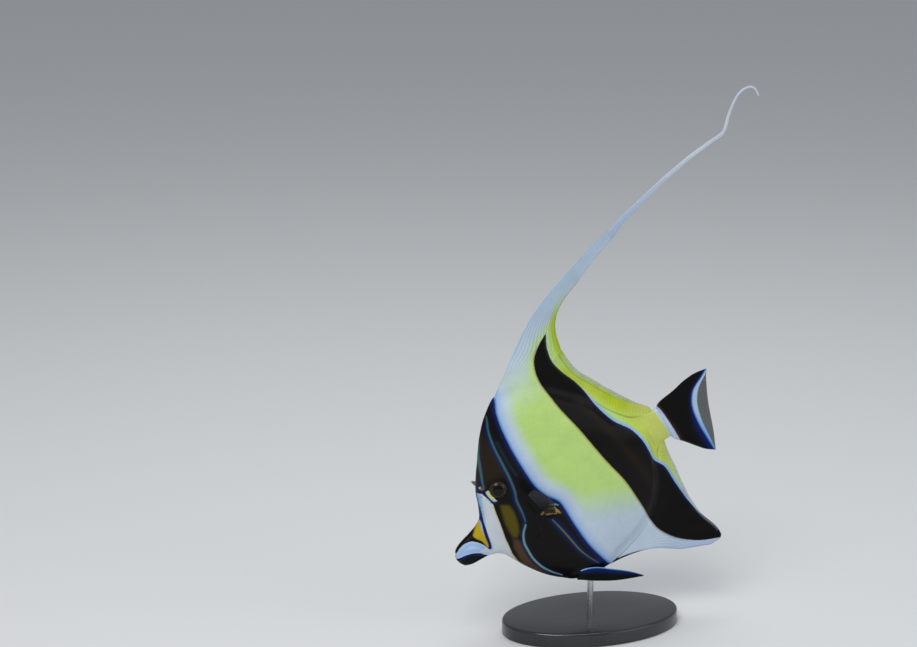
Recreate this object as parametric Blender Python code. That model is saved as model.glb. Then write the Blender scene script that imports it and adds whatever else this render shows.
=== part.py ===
"""Moorish idol (Zanclus cornutus): a still, life-size model on a plain display stand.

Shapes are given in millimetres and turned into metres by MM as each mesh is made.
The fish has a frame of its own: f runs forward to the snout, y to its left side and
u up its back, from the middle of the end of the tail stalk. The fish is built in that
frame and then placed, nose down, facing -X with its left side towards -Y.
The world origin is the middle of the underside of the base.
"""
from math import cos, pi, radians, sin, sqrt

import bmesh
import bpy
import numpy as np
from mathutils import Matrix, Vector

for old in list(bpy.data.objects):
    bpy.data.objects.remove(old, do_unlink=True)

MM = 0.001
GAP = 0.3

# Placing of the fish over its base
PITCH = radians(28.0)
STALK_END = Vector((0.03892, 0.0, 0.11672))

# Stand
BASE_LENGTH = 106.0
BASE_DEPTH = 68.0
BASE_HEIGHT = 8.0
BASE_CHAMFER = 1.2
ROD_RADIUS = 1.8
ROD_IN_BASE = 5.0
ROD_IN_BELLY = 9.0
BELLY_HEIGHT = 30.6

# Outline of the flesh, without fins: (f, u) along the back and along the belly
BACK = [(-5.6, 9.2), (0.0, 9.5), (10.0, 13.0), (19.0, 23.0), (28.0, 38.5), (38.0, 51.0),
        (50.0, 62.0), (62.0, 68.0), (74.5, 69.2), (84.3, 63.2), (92.3, 54.6), (102.0, 40.0),
        (106.6, 32.7), (110.0, 26.0), (112.3, 18.6), (115.8, 11.2), (124.0, 7.3),
        (131.0, 5.4), (136.0, 3.0), (138.2, -0.6)]
BELLY = [(-5.6, -9.7), (0.0, -10.2), (6.0, -14.0), (9.5, -24.0), (15.0, -36.0), (27.0, -48.0),
         (42.0, -54.4), (56.0, -57.6), (66.0, -58.4), (74.0, -57.8), (81.0, -55.4),
         (91.0, -47.9), (97.8, -40.9), (103.8, -32.4), (107.5, -26.2), (110.4, -20.6),
         (113.0, -15.8), (117.3, -12.4), (123.3, -10.6), (130.0, -10.2), (135.5, -8.4),
         (138.2, -4.4)]
# Half width of the body along it, and how round its section is towards the two edges
HALF_WIDTH = [(-5.6, 3.0), (0.0, 3.3), (15.0, 5.4), (30.0, 7.6), (51.0, 10.0), (71.0, 11.0),
              (84.0, 10.7), (96.0, 9.5), (104.0, 8.0), (110.0, 6.5), (116.0, 5.0),
              (124.0, 4.3), (132.0, 3.6), (136.5, 2.6), (138.2, 1.2)]
BACK_EDGE = [(-5.6, 1.0), (72.0, 1.0), (84.0, 1.6), (104.0, 1.9), (116.0, 0.7), (138.2, 0.4)]
BELLY_EDGE = [(-5.6, 1.0), (54.0, 1.0), (66.0, 1.9), (100.0, 1.8), (115.0, 0.8), (138.2, 0.4)]
BACK_POWER = [(-5.6, 0.6), (20.0, 0.75), (70.0, 0.75), (84.0, 0.62), (110.0, 0.5), (138.2, 0.5)]
BELLY_POWER = [(-5.6, 0.6), (20.0, 0.75), (52.0, 0.72), (66.0, 0.5), (138.2, 0.5)]
SECTIONS = 42
# The stalk swings to the fish's left from this place on
BEND_START = 12.0
BEND_RATE = 0.0096

# Cuts between the parts of the body, as lines in the side view
NECK_CUT = [(88.8, 75.0), (87.6, 42.0), (86.5, 17.0), (86.1, 6.0), (86.1, -3.0), (86.7, -12.0),
            (88.2, -22.0), (91.2, -38.0), (96.5, -62.0)]
STALK_CUT = [(13.0, 40.0), (10.6, 0.0), (8.2, -40.0)]
UPPER_JAW_CUT = [(132.6, 10.0), (131.0, 2.0), (130.0, -3.2)]
MOUTH_CUT = [(142.0, -1.6), (135.0, -1.6), (130.0, -3.0), (124.5, -5.8), (120.6, -8.4),
             (119.0, -18.0)]
MOUTH_GAP = 0.45

# Gill cover
COVER = [(96.6, 12.6), (92.2, 14.0), (89.4, 11.4), (88.0, 5.0), (87.5, -2.0), (88.3, -8.6),
         (91.2, -13.0), (95.4, -13.4), (98.6, -9.6), (99.8, -2.0), (99.0, 5.8)]
COVER_FLOOR = 5.2
COVER_RISE = 0.4

# Eye, horn and nostrils: (f, u) in the side view
EYE_AT = (99.8, 23.5)
EYE_RADIUS = 5.3
EYE_DEPTH = 3.4
EYE_SUNK = 1.7
RIM_RADIUS = 5.7
RIM_THICK = 0.75
HORN_AT = (106.8, 28.4)
HORN_RADIUS = 1.4
HORN_LENGTH = 3.4
HORN_ROOT = 1.3
HORN_WAY = (0.52, 0.62, 0.58)
NOSTRILS = [(109.6, 23.4, 0.75), (107.8, 21.0, 0.6)]

# Lips, rolled round the front of both jaws
LIP_REACH = 137.6
LIP_BACK = 131.4
LIP_RADIUS = 0.8

# Dorsal fin: base ends, front edge up the whip, cut across the whip, rear edge down
DORSAL_BASE = (75.2, -0.4)
DORSAL_FRONT = [(75.2, 69.4), (61.1, 80.3), (51.8, 86.8), (43.0, 92.9), (33.4, 98.4),
                (22.8, 103.0), (11.0, 106.8), (-1.4, 110.6), (-13.8, 114.2), (-27.4, 117.1)]
DORSAL_SPLIT = 0.27
DORSAL_INNER = [(52.0, 63.3), (41.0, 67.0), (28.4, 71.9), (26.4, 82.4), (21.6, 90.6),
                (13.1, 96.4), (2.4, 100.5), (-10.1, 106.0), (-28.7, 112.1)]
DORSAL_REAR = [(28.4, 71.9), (26.6, 59.0), (19.4, 44.3), (10.4, 28.8), (-2.6, 12.6)]
DORSAL_RAYS = (8, 18)
STREAMER = [(-28.4, 114.7), (-38.1, 118.1), (-51.3, 121.1), (-64.7, 124.1), (-77.7, 126.4),
            (-90.4, 128.1), (-102.6, 128.9), (-108.7, 129.1), (-111.5, 129.4), (-113.8, 130.5),
            (-116.4, 133.1), (-119.5, 136.4), (-122.9, 139.4), (-126.8, 142.4),
            (-130.7, 144.6), (-134.5, 145.4), (-138.0, 144.8), (-140.1, 143.0),
            (-140.9, 140.3), (-140.8, 136.9)]
STREAMER_HEIGHT = [(0.0, 2.6), (0.12, 1.85), (0.35, 1.45), (0.7, 1.2), (1.0, 0.8)]
STREAMER_THICK = [(0.0, 0.6), (0.3, 0.5), (1.0, 0.35)]

# Anal fin, in the same order
ANAL_BASE = (60.5, -0.4)
ANAL_FRONT = [(60.5, -58.5), (54.7, -59.4), (43.7, -62.4), (37.1, -64.9), (29.9, -69.2),
              (19.6, -76.9), (9.2, -81.9), (0.9, -85.2), (-3.6, -85.2)]
ANAL_REAR = [(-5.6, -82.6), (-5.4, -78.1), (-1.6, -67.4), (0.3, -60.0), (1.3, -48.2),
             (1.0, -38.8), (-0.6, -26.3), (-1.8, -18.0), (-3.4, -13.0)]
ANAL_RAYS = 26

# Caudal fin, in its own plane: r behind the stalk, h up
CAUDAL_SWING = radians(30.0)
CAUDAL_DIP = radians(9.0)
CAUDAL_TOP = [(0.0, 9.2), (4.0, 13.2), (7.6, 16.8), (16.8, 22.8), (24.5, 26.2), (32.2, 28.0)]
CAUDAL_EDGE = [(32.2, 28.0), (30.4, 17.0), (28.6, 5.0), (27.2, -6.0), (25.6, -16.0),
               (24.6, -26.4)]
CAUDAL_FOOT = [(0.0, -9.6), (3.6, -12.6), (10.2, -18.4), (17.0, -23.4), (24.6, -26.4)]
CAUDAL_RAYS = 15

# Pectoral fin
PECTORAL_AT = (80.0, -5.2)
PECTORAL_BASE = 3.2
PECTORAL_LENGTH = 26.0
PECTORAL_AXIS = (-0.88, 0.0, -0.47)
PECTORAL_WAY = (0.34, 0.40, 0.85)
PECTORAL_FAN = (radians(-40.0), radians(-22.0))
PECTORAL_BOW = -1.6
PECTORAL_RAYS = 8

# Pelvic fins, about their root: lower edge and upper edge, and how far each is raised
PELVIC_AT = (82.0, -50.0)
PELVIC_LOWER = [(1.9, -2.4), (-3.9, -6.4), (-16.6, -14.6), (-26.0, -19.4), (-33.0, -22.6)]
PELVIC_UPPER = [(-2.3, 1.9), (-9.4, -0.6), (-18.6, -7.6), (-27.0, -15.2), (-32.4, -21.4)]
PELVIC_RAISED = {"left": radians(0.0), "right": radians(14.0)}
PELVIC_OFF = 1.4
PELVIC_RAYS = 5


def curve(points):
    """A smooth curve through (place, value) pairs that never overshoots them."""
    x = np.array([p[0] for p in points], float)
    y = np.array([p[1] for p in points], float)
    h = np.diff(x)
    d = np.diff(y) / h
    m = np.zeros(len(x))
    m[0] = d[0]
    m[-1] = d[-1]
    for i in range(1, len(x) - 1):
        if d[i - 1] * d[i] > 0.0:
            a = 2.0 * h[i] + h[i - 1]
            b = h[i] + 2.0 * h[i - 1]
            m[i] = (a + b) / (a / d[i - 1] + b / d[i])

    def at(v):
        v = float(np.clip(v, x[0], x[-1]))
        i = int(np.clip(np.searchsorted(x, v) - 1, 0, len(h) - 1))
        t = (v - x[i]) / h[i]
        return ((1 + 2 * t) * (1 - t) ** 2 * y[i] + t * (1 - t) ** 2 * h[i] * m[i]
                + t * t * (3 - 2 * t) * y[i + 1] + t * t * (t - 1) * h[i] * m[i + 1])

    return at


def path(points):
    """A smooth path through points, called with 0 to 1 along its length."""
    p = np.array(points, float)
    s = np.concatenate([[0.0], np.cumsum(np.linalg.norm(np.diff(p, axis=0), axis=1))])
    s /= s[-1]
    parts = [curve(list(zip(s, p[:, k]))) for k in range(p.shape[1])]
    return lambda t: np.array([part(t) for part in parts])


back_at = curve(BACK)
belly_at = curve(BELLY)
width_at = curve(HALF_WIDTH)
back_edge_at = curve(BACK_EDGE)
belly_edge_at = curve(BELLY_EDGE)
back_power_at = curve(BACK_POWER)
belly_power_at = curve(BELLY_POWER)


def bend(f):
    """How far the middle of the body lies to the left at f."""
    return BEND_RATE * max(BEND_START - f, 0.0) ** 2


def half_width(f, u):
    """Half the thickness of the body at a place in the side view."""
    top = back_at(f)
    foot = belly_at(f)
    mid = 0.5 * (top + foot)
    if u >= mid:
        v = min((u - mid) / (top - mid), 1.0)
        edge, power = back_edge_at(f), back_power_at(f)
    else:
        v = min((mid - u) / (mid - foot), 1.0)
        edge, power = belly_edge_at(f), belly_power_at(f)
    w = width_at(f)
    edge = min(edge, 0.6 * w)
    return edge + (w - edge) * (1.0 - v * v) ** power


def surface(f, u, side=1):
    """A point of the skin and its outward normal, on the left (1) or right (-1)."""
    d = 0.4
    w = half_width(f, u)
    wf = (half_width(f + d, u) - half_width(f - d, u)) / (2 * d)
    wu = (half_width(f, u + d) - half_width(f, u - d)) / (2 * d)
    n = Vector((-wf, side, -wu)).normalized()
    return Vector((f, side * w, u)), n


def material(name, colour, roughness, metallic=0.0, alpha=1.0):
    m = bpy.data.materials.new(name)
    m.use_nodes = True
    p = m.node_tree.nodes["Principled BSDF"]
    p.inputs["Base Color"].default_value = (*colour, 1.0)
    p.inputs["Roughness"].default_value = roughness
    p.inputs["Metallic"].default_value = metallic
    p.inputs["Alpha"].default_value = alpha
    m.diffuse_color = (*colour, 1.0)
    return m


def mesh_object(name, verts, faces):
    """An object from points in millimetres, with its faces turned outwards."""
    me = bpy.data.meshes.new(name)
    me.from_pydata([tuple(float(c) * MM for c in v) for v in verts], [], faces)
    bm = bmesh.new()
    bm.from_mesh(me)
    bmesh.ops.recalc_face_normals(bm, faces=bm.faces)
    if bm.calc_volume(signed=True) < 0.0:
        bmesh.ops.reverse_faces(bm, faces=bm.faces)
    bm.to_mesh(me)
    bm.free()
    ob = bpy.data.objects.new(name, me)
    bpy.context.scene.collection.objects.link(ob)
    return ob


def copy_of(ob, name):
    new = bpy.data.objects.new(name, ob.data.copy())
    bpy.context.scene.collection.objects.link(new)
    return new


def discard(ob):
    bpy.data.objects.remove(ob, do_unlink=True)


def evaluated(ob):
    bpy.context.view_layer.update()
    graph = bpy.context.evaluated_depsgraph_get()
    return bpy.data.meshes.new_from_object(ob.evaluated_get(graph))


def combine(ob, cutter, operation, solver="EXACT"):
    """Apply one Boolean and remove the piece it used."""
    m = ob.modifiers.new("combine", "BOOLEAN")
    m.operation = operation
    m.solver = solver
    m.object = cutter
    me = evaluated(ob)
    ob.modifiers.clear()
    ob.data = me
    discard(cutter)
    return ob


def fuse(ob, pieces, solver="EXACT"):
    """One union of an object with closed pieces, which are then removed."""
    group = bpy.data.collections.new("fuse")
    for piece in pieces:
        group.objects.link(piece)
    m = ob.modifiers.new("fuse", "BOOLEAN")
    m.operation = "UNION"
    m.solver = solver
    m.operand_type = "COLLECTION"
    m.collection = group
    me = evaluated(ob)
    ob.modifiers.clear()
    ob.data = me
    for piece in pieces:
        discard(piece)
    bpy.data.collections.remove(group)
    return ob


def shells(ob):
    """The closed surfaces of an object, as lists of face numbers with their volumes."""
    bm = bmesh.new()
    bm.from_mesh(ob.data)
    bm.faces.ensure_lookup_table()
    seen = set()
    found = []
    for first in bm.faces:
        if first.index in seen:
            continue
        stack = [first]
        seen.add(first.index)
        part = []
        while stack:
            face = stack.pop()
            part.append(face.index)
            for edge in face.edges:
                for other in edge.link_faces:
                    if other.index not in seen:
                        seen.add(other.index)
                        stack.append(other)
        volume = 0.0
        middle = Vector()
        for i in part:
            loop = [v.co for v in bm.faces[i].verts]
            for j in range(1, len(loop) - 1):
                volume += loop[0].dot(loop[j].cross(loop[j + 1])) / 6.0
            middle += bm.faces[i].calc_center_median() / len(part)
        found.append((volume, middle / MM, part))
    bm.free()
    return found


def keep_faces(ob, keep):
    bm = bmesh.new()
    bm.from_mesh(ob.data)
    keep = set(keep)
    bmesh.ops.delete(bm, geom=[f for f in bm.faces if f.index not in keep], context="FACES")
    bm.to_mesh(ob.data)
    bm.free()


def keep_largest(ob):
    keep_faces(ob, max(shells(ob), key=lambda s: s[0])[2])


def prism(name, outline, y0, y1):
    """An outline in the side view, drawn out from y0 to y1."""
    n = len(outline)
    verts = [(f, y0, u) for f, u in outline] + [(f, y1, u) for f, u in outline]
    faces = [tuple(range(n)), tuple(range(2 * n - 1, n - 1, -1))]
    faces += [(i, (i + 1) % n, n + (i + 1) % n, n + i) for i in range(n)]
    return mesh_object(name, verts, faces)


def offset_line(line, distance):
    """A line moved sideways, its corners mitred."""
    p = np.array(line, float)
    out = []
    for i in range(len(p)):
        dirs = []
        if i > 0:
            dirs.append((p[i] - p[i - 1]) / np.linalg.norm(p[i] - p[i - 1]))
        if i < len(p) - 1:
            dirs.append((p[i + 1] - p[i]) / np.linalg.norm(p[i + 1] - p[i]))
        normals = [np.array([-d[1], d[0]]) for d in dirs]
        n = sum(normals) / np.linalg.norm(sum(normals))
        out.append(p[i] + n * distance / max(float(n @ normals[0]), 0.4))
    return [tuple(q) for q in out]


def ribbon(name, line, width):
    left = offset_line(line, width / 2)
    right = offset_line(line, -width / 2)
    return prism(name, left + right[::-1], -40.0, 40.0)


def grown(outline, distance):
    """A closed outline given anticlockwise or clockwise, moved outwards all round."""
    p = np.array(outline, float)
    x, y = p[:, 0], p[:, 1]
    turn = np.sign(np.sum(x * np.roll(y, -1) - np.roll(x, -1) * y))
    n = len(p)
    out = []
    for i in range(n):
        a = p[i] - p[i - 1]
        b = p[(i + 1) % n] - p[i]
        a /= np.linalg.norm(a)
        b /= np.linalg.norm(b)
        na = np.array([a[1], -a[0]]) * turn
        nb = np.array([b[1], -b[0]]) * turn
        m = (na + nb) / np.linalg.norm(na + nb)
        out.append(tuple(p[i] + m * distance / float(m @ na)))
    return out


def ball(name, centre, axes, radii, segments=18, rings=9):
    """An ellipsoid; its third axis is the one of the poles."""
    verts = []
    for r in range(1, rings):
        a = pi * r / rings
        for s in range(segments):
            b = 2 * pi * s / segments
            verts.append((sin(a) * cos(b), sin(a) * sin(b), cos(a)))
    verts.append((0, 0, 1))
    verts.append((0, 0, -1))
    top, foot = len(verts) - 2, len(verts) - 1
    faces = []
    for r in range(rings - 2):
        for s in range(segments):
            i, j = r * segments + s, r * segments + (s + 1) % segments
            faces.append((i, j, j + segments, i + segments))
    for s in range(segments):
        faces.append((top, (s + 1) % segments, s))
        last = (rings - 2) * segments
        faces.append((foot, last + s, last + (s + 1) % segments))
    c = Vector(centre)
    placed = [c + sum((Vector(ax) * (v[k] * radii[k]) for k, ax in enumerate(axes)), Vector())
              for v in verts]
    return mesh_object(name, placed, faces)


def frame_of(normal, hint=(0.0, 0.0, 1.0)):
    """Two axes across a normal, then the normal."""
    n = Vector(normal).normalized()
    a = Vector(hint).cross(n).normalized()
    return a, n.cross(a), n


def tube(name, stations, segments, closed=False):
    """A closed tube through (centre, across axis, other axis, half a, half b) stations."""
    verts = []
    for c, ax, bx, ra, rb in stations:
        for s in range(segments):
            t = 2 * pi * s / segments
            verts.append(Vector(c) + Vector(ax) * (ra * cos(t)) + Vector(bx) * (rb * sin(t)))
    faces = []
    n = len(stations)
    for i in range(n if closed else n - 1):
        k = (i + 1) % n
        for s in range(segments):
            t = (s + 1) % segments
            faces.append((i * segments + s, i * segments + t, k * segments + t, k * segments + s))
    if not closed:
        faces.append(tuple(range(segments)))
        faces.append(tuple((n - 1) * segments + s for s in range(segments)))
    return mesh_object(name, verts, faces)


def sections():
    """Where the sections of the body stand, closer together where its outline is steep."""
    fine = np.linspace(BACK[0][0], BACK[-1][0], 600)
    rise = [sqrt(1.0 + 0.5 * ((back_at(b) - back_at(a)) ** 2 + (belly_at(b) - belly_at(a)) ** 2)
                 / (b - a) ** 2) for a, b in zip(fine[:-1], fine[1:])]
    run = np.concatenate([[0.0], np.cumsum(rise)])
    return np.interp(np.linspace(0.0, run[-1], SECTIONS), run, fine)


places = sections()


def back_line(f):
    """The back as the solid has it, straight between its sections."""
    return float(np.interp(f, places, [back_at(p) for p in places]))


def belly_line(f):
    return float(np.interp(f, places, [belly_at(p) for p in places]))


def body_mesh(name, extra=0.0, around=11):
    """The whole of head, trunk and tail stalk as one loft of upright sections."""
    verts = []
    for f in places:
        top, foot = back_at(f) + extra, belly_at(f) - extra
        mid = 0.5 * (top + foot)
        for side in (1, -1):
            for k in range(around):
                v = sin(-pi / 2 + pi * k / (around - 1)) * side
                u = mid + v * (top - mid)
                inner = mid + v * (top - extra - mid)
                verts.append((f, bend(f) + side * (half_width(f, inner) + extra), u))
    stations = len(places)
    ring = 2 * around
    faces = [tuple(range(ring)), tuple((stations - 1) * ring + k for k in range(ring))]
    for i in range(stations - 1):
        for k in range(ring):
            n = (k + 1) % ring
            faces.append((i * ring + k, i * ring + n, (i + 1) * ring + n, (i + 1) * ring + k))
    return mesh_object(name, verts, faces)


def blade(name, middle, normal, half, quads):
    """A thin closed blade about a net of middle points, split alike on both faces."""
    verts = []
    for sign in (1, -1):
        for p, n, h in zip(middle, normal, half):
            verts.append(Vector(p) + Vector(n) * (sign * h))
    other = len(middle)
    net = []
    for a, b, c, d, odd in quads:
        net += [(a, b, d), (b, c, d)] if odd else [(a, b, c), (a, c, d)]
    edges = {}
    for tri in net:
        for k in range(3):
            pair = (tri[k], tri[(k + 1) % 3])
            edges[pair] = edges.get(pair, 0) + 1
    faces = []
    for tri in net:
        faces.append(tri)
        faces.append(tuple(other + k for k in reversed(tri)))
    for a, b in edges:
        if (b, a) not in edges:
            faces.append((b, a, other + a))
            faces.append((b, other + a, other + b))
    return mesh_object(name, verts, faces)


def slab(name, middle, normal, half):
    """A blade about a plain grid, its rows the rays of a fin."""
    rows, cols = len(middle), len(middle[0])
    quads = []
    for i in range(rows - 1):
        for j in range(cols - 1):
            a = i * cols + j
            quads.append((a, a + 1, a + 1 + cols, a + cols, i % 2))
    flat = [[cell for row in grid for cell in row] for grid in (middle, normal, half)]
    return blade(name, *flat, quads)


def ray_half(i, t, base, crest=(0.62, 0.3), web=(0.34, 0.25)):
    """Half thickness of a fin: even rows lie on a ray, odd rows on the web between."""
    near = max(1.0 - t / 0.14, 0.0)
    first, last = crest if i % 2 == 0 else web
    return near * base + (1.0 - near) * (first + (last - first) * t)


def median_fin(name, foot_line, front, rear, rays, columns, base_half):
    """A fin in the middle plane: each row is a ray from its base to its tip."""
    foot_way, front_way = path(foot_line), path(front)
    rear_way = path([front[-1]] + rear)
    foot, tip = np.array(foot_line[0]), np.array(front[-1])
    rows = 2 * rays + 1
    middle, half = [], []
    for i in range(rows):
        s = i / (rows - 1)
        b, e = foot_way(s), rear_way(s)
        line, thick = [], []
        for j in range(columns):
            t = j / (columns - 1)
            bow = front_way(t) - ((1 - t) * foot + t * tip)
            p = (1 - t) * b + t * e + (1 - s) * bow
            line.append((p[0], bend(b[0]) * (1 - t), p[1]))
            thick.append(ray_half(i, t, base_half))
        middle.append(line)
        half.append(thick)
    across = [[(0.0, 1.0, 0.0)] * columns] * rows
    return slab(name, middle, across, half)


def whip_fin(names, foot_line, split, front, inner, rear, rays, columns, base_half):
    """The dorsal fin and its whip: rays that run on up the whip, then shorter rays.

    The foot is split between the two. inner is the ray that parts them: it runs from
    the foot to the corner where rear begins, and on along the whip."""
    foot_way, front_way, rear_way = path(foot_line), path(front), path(rear)
    low, high = columns
    corner = min(range(len(inner)), key=lambda k: abs(inner[k][1] - rear[0][1]))
    lower_way, upper_way = path(inner[:corner + 1]), path(inner[corner:])
    upto = sum(np.linalg.norm(np.subtract(inner[k + 1], inner[k])) for k in range(corner))
    whole = sum(np.linalg.norm(np.subtract(inner[k + 1], inner[k]))
                for k in range(len(inner) - 1))
    share = upto / whole
    middle, half, quads = [], [], []
    whip_middle, whip_half = [], []
    ahead = 2 * rays[0] + 1
    cols = low + 1
    parting = GAP / whole
    for i in range(ahead):
        w = i / (ahead - 1)
        b = foot_way(split * w)
        line, thick = [], []
        for j in range(high + 1):
            k = parting + (1 - parting) * j / high
            t = share + (1 - share) * k
            p = (1 - w) * front_way(t) + w * np.array(upper_way(k))
            line.append((p[0], 0.0, p[1]))
            thick.append(ray_half(i, t, base_half))
        whip_middle.append(line)
        whip_half.append(thick)
        for j in range(cols):
            t = share * j / low
            q = lower_way(j / low)
            start = (1 - w) * front_way(0) + w * np.array(inner[0])
            shift = (1 - min(t / share, 1.0)) * (b - start)
            p = (1 - w) * front_way(t) + w * np.array(q) + shift
            middle.append((p[0], 0.0, p[1]))
            half.append(ray_half(i, t, base_half))
            if i and j:
                a = (i - 1) * cols + j - 1
                quads.append((a, a + 1, a + 1 + cols, a + cols, (i - 1) % 2))
    last = [(ahead - 1) * cols + j for j in range(low + 1)]
    behind = 2 * rays[1]
    for i in range(1, behind + 1):
        w = i / behind
        b, e = foot_way(split + (1 - split) * w), rear_way(w)
        row = []
        for j in range(low + 1):
            t = j / low
            bow = lower_way(t) - ((1 - t) * np.array(inner[0]) + t * np.array(inner[corner]))
            p = (1 - t) * b + t * e + max(1 - 3 * w, 0.0) * bow
            row.append(len(middle))
            middle.append((p[0], bend(b[0]) * (1 - t), p[1]))
            half.append(ray_half(i, t, base_half))
        for j in range(low):
            quads.append((last[j], last[j + 1], row[j + 1], row[j], (i - 1) % 2))
        last = row
    across = [(0.0, 1.0, 0.0)] * len(middle)
    whip_across = [[(0.0, 1.0, 0.0)] * (high + 1)] * ahead
    return (blade(names[0], middle, across, half, quads),
            slab(names[1], whip_middle, whip_across, whip_half))


def blade_normals(middle):
    """Unit normals of a curved grid of points."""
    m = np.array(middle, float)
    along = np.gradient(m, axis=0)
    across = np.gradient(m, axis=1)
    n = np.cross(along, across)
    return n / np.linalg.norm(n, axis=2, keepdims=True)


# Body, whole, then parted by thin cuts
body = body_mesh("body")
combine(body, ribbon("cut", NECK_CUT, GAP), "DIFFERENCE")
combine(body, ribbon("cut", STALK_CUT, GAP), "DIFFERENCE")
combine(body, ribbon("cut", MOUTH_CUT, MOUTH_GAP), "DIFFERENCE")
combine(body, ribbon("cut", UPPER_JAW_CUT, GAP), "DIFFERENCE")
parts = {}
for volume, middle, part in sorted(shells(body), key=lambda s: -s[0])[:5]:
    if middle.x < 8.0:
        label = "tail_stalk"
    elif middle.x < 70.0:
        label = "torso"
    elif middle.x < 118.0:
        label = "head"
    elif middle.z > -3.0:
        label = "upper_jaw"
    else:
        label = "lower_jaw"
    parts[label] = copy_of(body, label)
    keep_faces(parts[label], part)
discard(body)
head, torso = parts["head"], parts["torso"]

# Gill covers, let into the cheeks and standing a little proud of them
for side, label in ((1, "left"), (-1, "right")):
    skin = body_mesh("skin", extra=COVER_RISE)
    inner = grown(COVER, -GAP)
    plate = prism("gill_cover_" + label, inner, side * (COVER_FLOOR + GAP), side * 30.0)
    combine(plate, skin, "INTERSECT")
    keep_largest(plate)
    parts[plate.name] = plate
    combine(head, prism("cut", COVER, side * COVER_FLOOR, side * 30.0), "DIFFERENCE")

# Eyes in their sockets, with a rim, and a horn and two nostrils in front of each
for side, label in ((1, "left"), (-1, "right")):
    at, n = surface(*EYE_AT, side)
    axes = frame_of(n)
    steps = 20
    rim = tube("rim", [(at + (axes[0] * cos(a) + axes[1] * sin(a)) * RIM_RADIUS - n * 0.25,
                        axes[0] * cos(a) + axes[1] * sin(a), n, RIM_THICK, RIM_THICK)
                       for a in [2 * pi * k / steps for k in range(steps)]], 6, closed=True)
    fuse(head, [rim])
    centre = at - n * EYE_SUNK
    grown_eye = (EYE_RADIUS + GAP, EYE_RADIUS + GAP, EYE_DEPTH + GAP)
    combine(head, ball("socket", centre, axes, grown_eye), "DIFFERENCE")
    eye = ball("eye_" + label, centre, axes, (EYE_RADIUS, EYE_RADIUS, EYE_DEPTH))
    parts[eye.name] = eye
    at, n = surface(*HORN_AT, side)
    way = Vector((HORN_WAY[0], side * HORN_WAY[1], HORN_WAY[2])).normalized()
    ax = frame_of(way)
    pit = HORN_RADIUS + GAP
    combine(head, tube("pit", [(at - way * (HORN_ROOT + GAP), ax[0], ax[1], pit, pit),
                               (at + way * 3.0, ax[0], ax[1], pit, pit)], 12), "DIFFERENCE")
    shape = [(-1.0, 1.0), (0.0, 1.0), (0.35, 0.78), (0.7, 0.48), (0.92, 0.24), (1.0, 0.1)]
    horn = tube("horn_" + label, [
        (at + way * (HORN_ROOT * k if k < 0 else HORN_LENGTH * k) + Vector((0, 0, -0.6 * max(k, 0.0) ** 2)),
         ax[0], ax[1], HORN_RADIUS * r, HORN_RADIUS * r) for k, r in shape], 10)
    parts[horn.name] = horn
    for f, u, r in NOSTRILS:
        at, n = surface(f, u, side)
        ax = frame_of(n)
        combine(head, ball("nostril", at - n * 0.1, ax, (r, r * 0.8, 0.9), 10, 6), "DIFFERENCE")

# Lips
for label, sign in (("upper_jaw", 1), ("lower_jaw", -1)):
    stations = []
    for k in range(13):
        a = -pi / 2 + pi * k / 12
        f = LIP_BACK + (LIP_REACH - LIP_BACK) * cos(a)
        y = (width_at(LIP_BACK) - 0.5) * sin(a)
        drop = MOUTH_CUT[1][1] - 0.24 * max(135.0 - f, 0.0)
        u = drop + sign * (LIP_RADIUS * 0.72 + MOUTH_GAP / 2 + 0.05)
        out = Vector((cos(a), sin(a) * 1.2, 0.0)).normalized()
        ends = 0.55 if k in (0, 12) else 1.0
        stations.append(((f, y, u), out, (0, 0, 1), LIP_RADIUS * ends, LIP_RADIUS * 0.72 * ends))
    fuse(parts[label], [tube("lip", stations, 8)])

# Fins in the middle plane
def base_line(ends, edge_at, sign, steps=60):
    """The foot of a fin, a gap's width off the flesh."""
    line = []
    for k in range(steps + 1):
        f = ends[0] + (ends[1] - ends[0]) * k / steps
        slope = (edge_at(f + 0.3) - edge_at(f - 0.3)) / 0.6
        n = np.array([-slope, 1.0]) / sqrt(1 + slope * slope) * sign
        line.append((f + n[0] * GAP * 1.15, edge_at(f) + n[1] * GAP * 1.15))
    return line


dorsal_foot = base_line(DORSAL_BASE, back_line, 1)
inner = [tuple(path(dorsal_foot)(DORSAL_SPLIT))] + DORSAL_INNER[1:]
dorsal, whip = whip_fin(("dorsal_fin", "dorsal_whip"), dorsal_foot, DORSAL_SPLIT, DORSAL_FRONT,
                        inner, DORSAL_REAR, DORSAL_RAYS, (6, 7), 0.95)
anal = median_fin("anal_fin", base_line(ANAL_BASE, belly_line, -1), ANAL_FRONT,
                  ANAL_REAR, ANAL_RAYS, 8, 0.95)
parts["dorsal_fin"] = dorsal
parts["dorsal_whip"] = whip
parts["anal_fin"] = anal

# Streamer, a flat ribbon from the end of the whip
way = path(STREAMER)
high = curve(STREAMER_HEIGHT)
flat = curve(STREAMER_THICK)
stations = []
for k in range(37):
    t = k / 36
    p = way(t)
    d = way(min(t + 0.01, 1.0)) - way(max(t - 0.01, 0.0))
    d = Vector((d[0], 0.0, d[1])).normalized()
    across = Vector((0, 1, 0)).cross(d)
    stations.append(((p[0], 0.0, p[1]), across, (0, 1, 0), high(t), flat(t)))
parts["dorsal_streamer"] = tube("dorsal_streamer", stations, 8)

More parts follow.
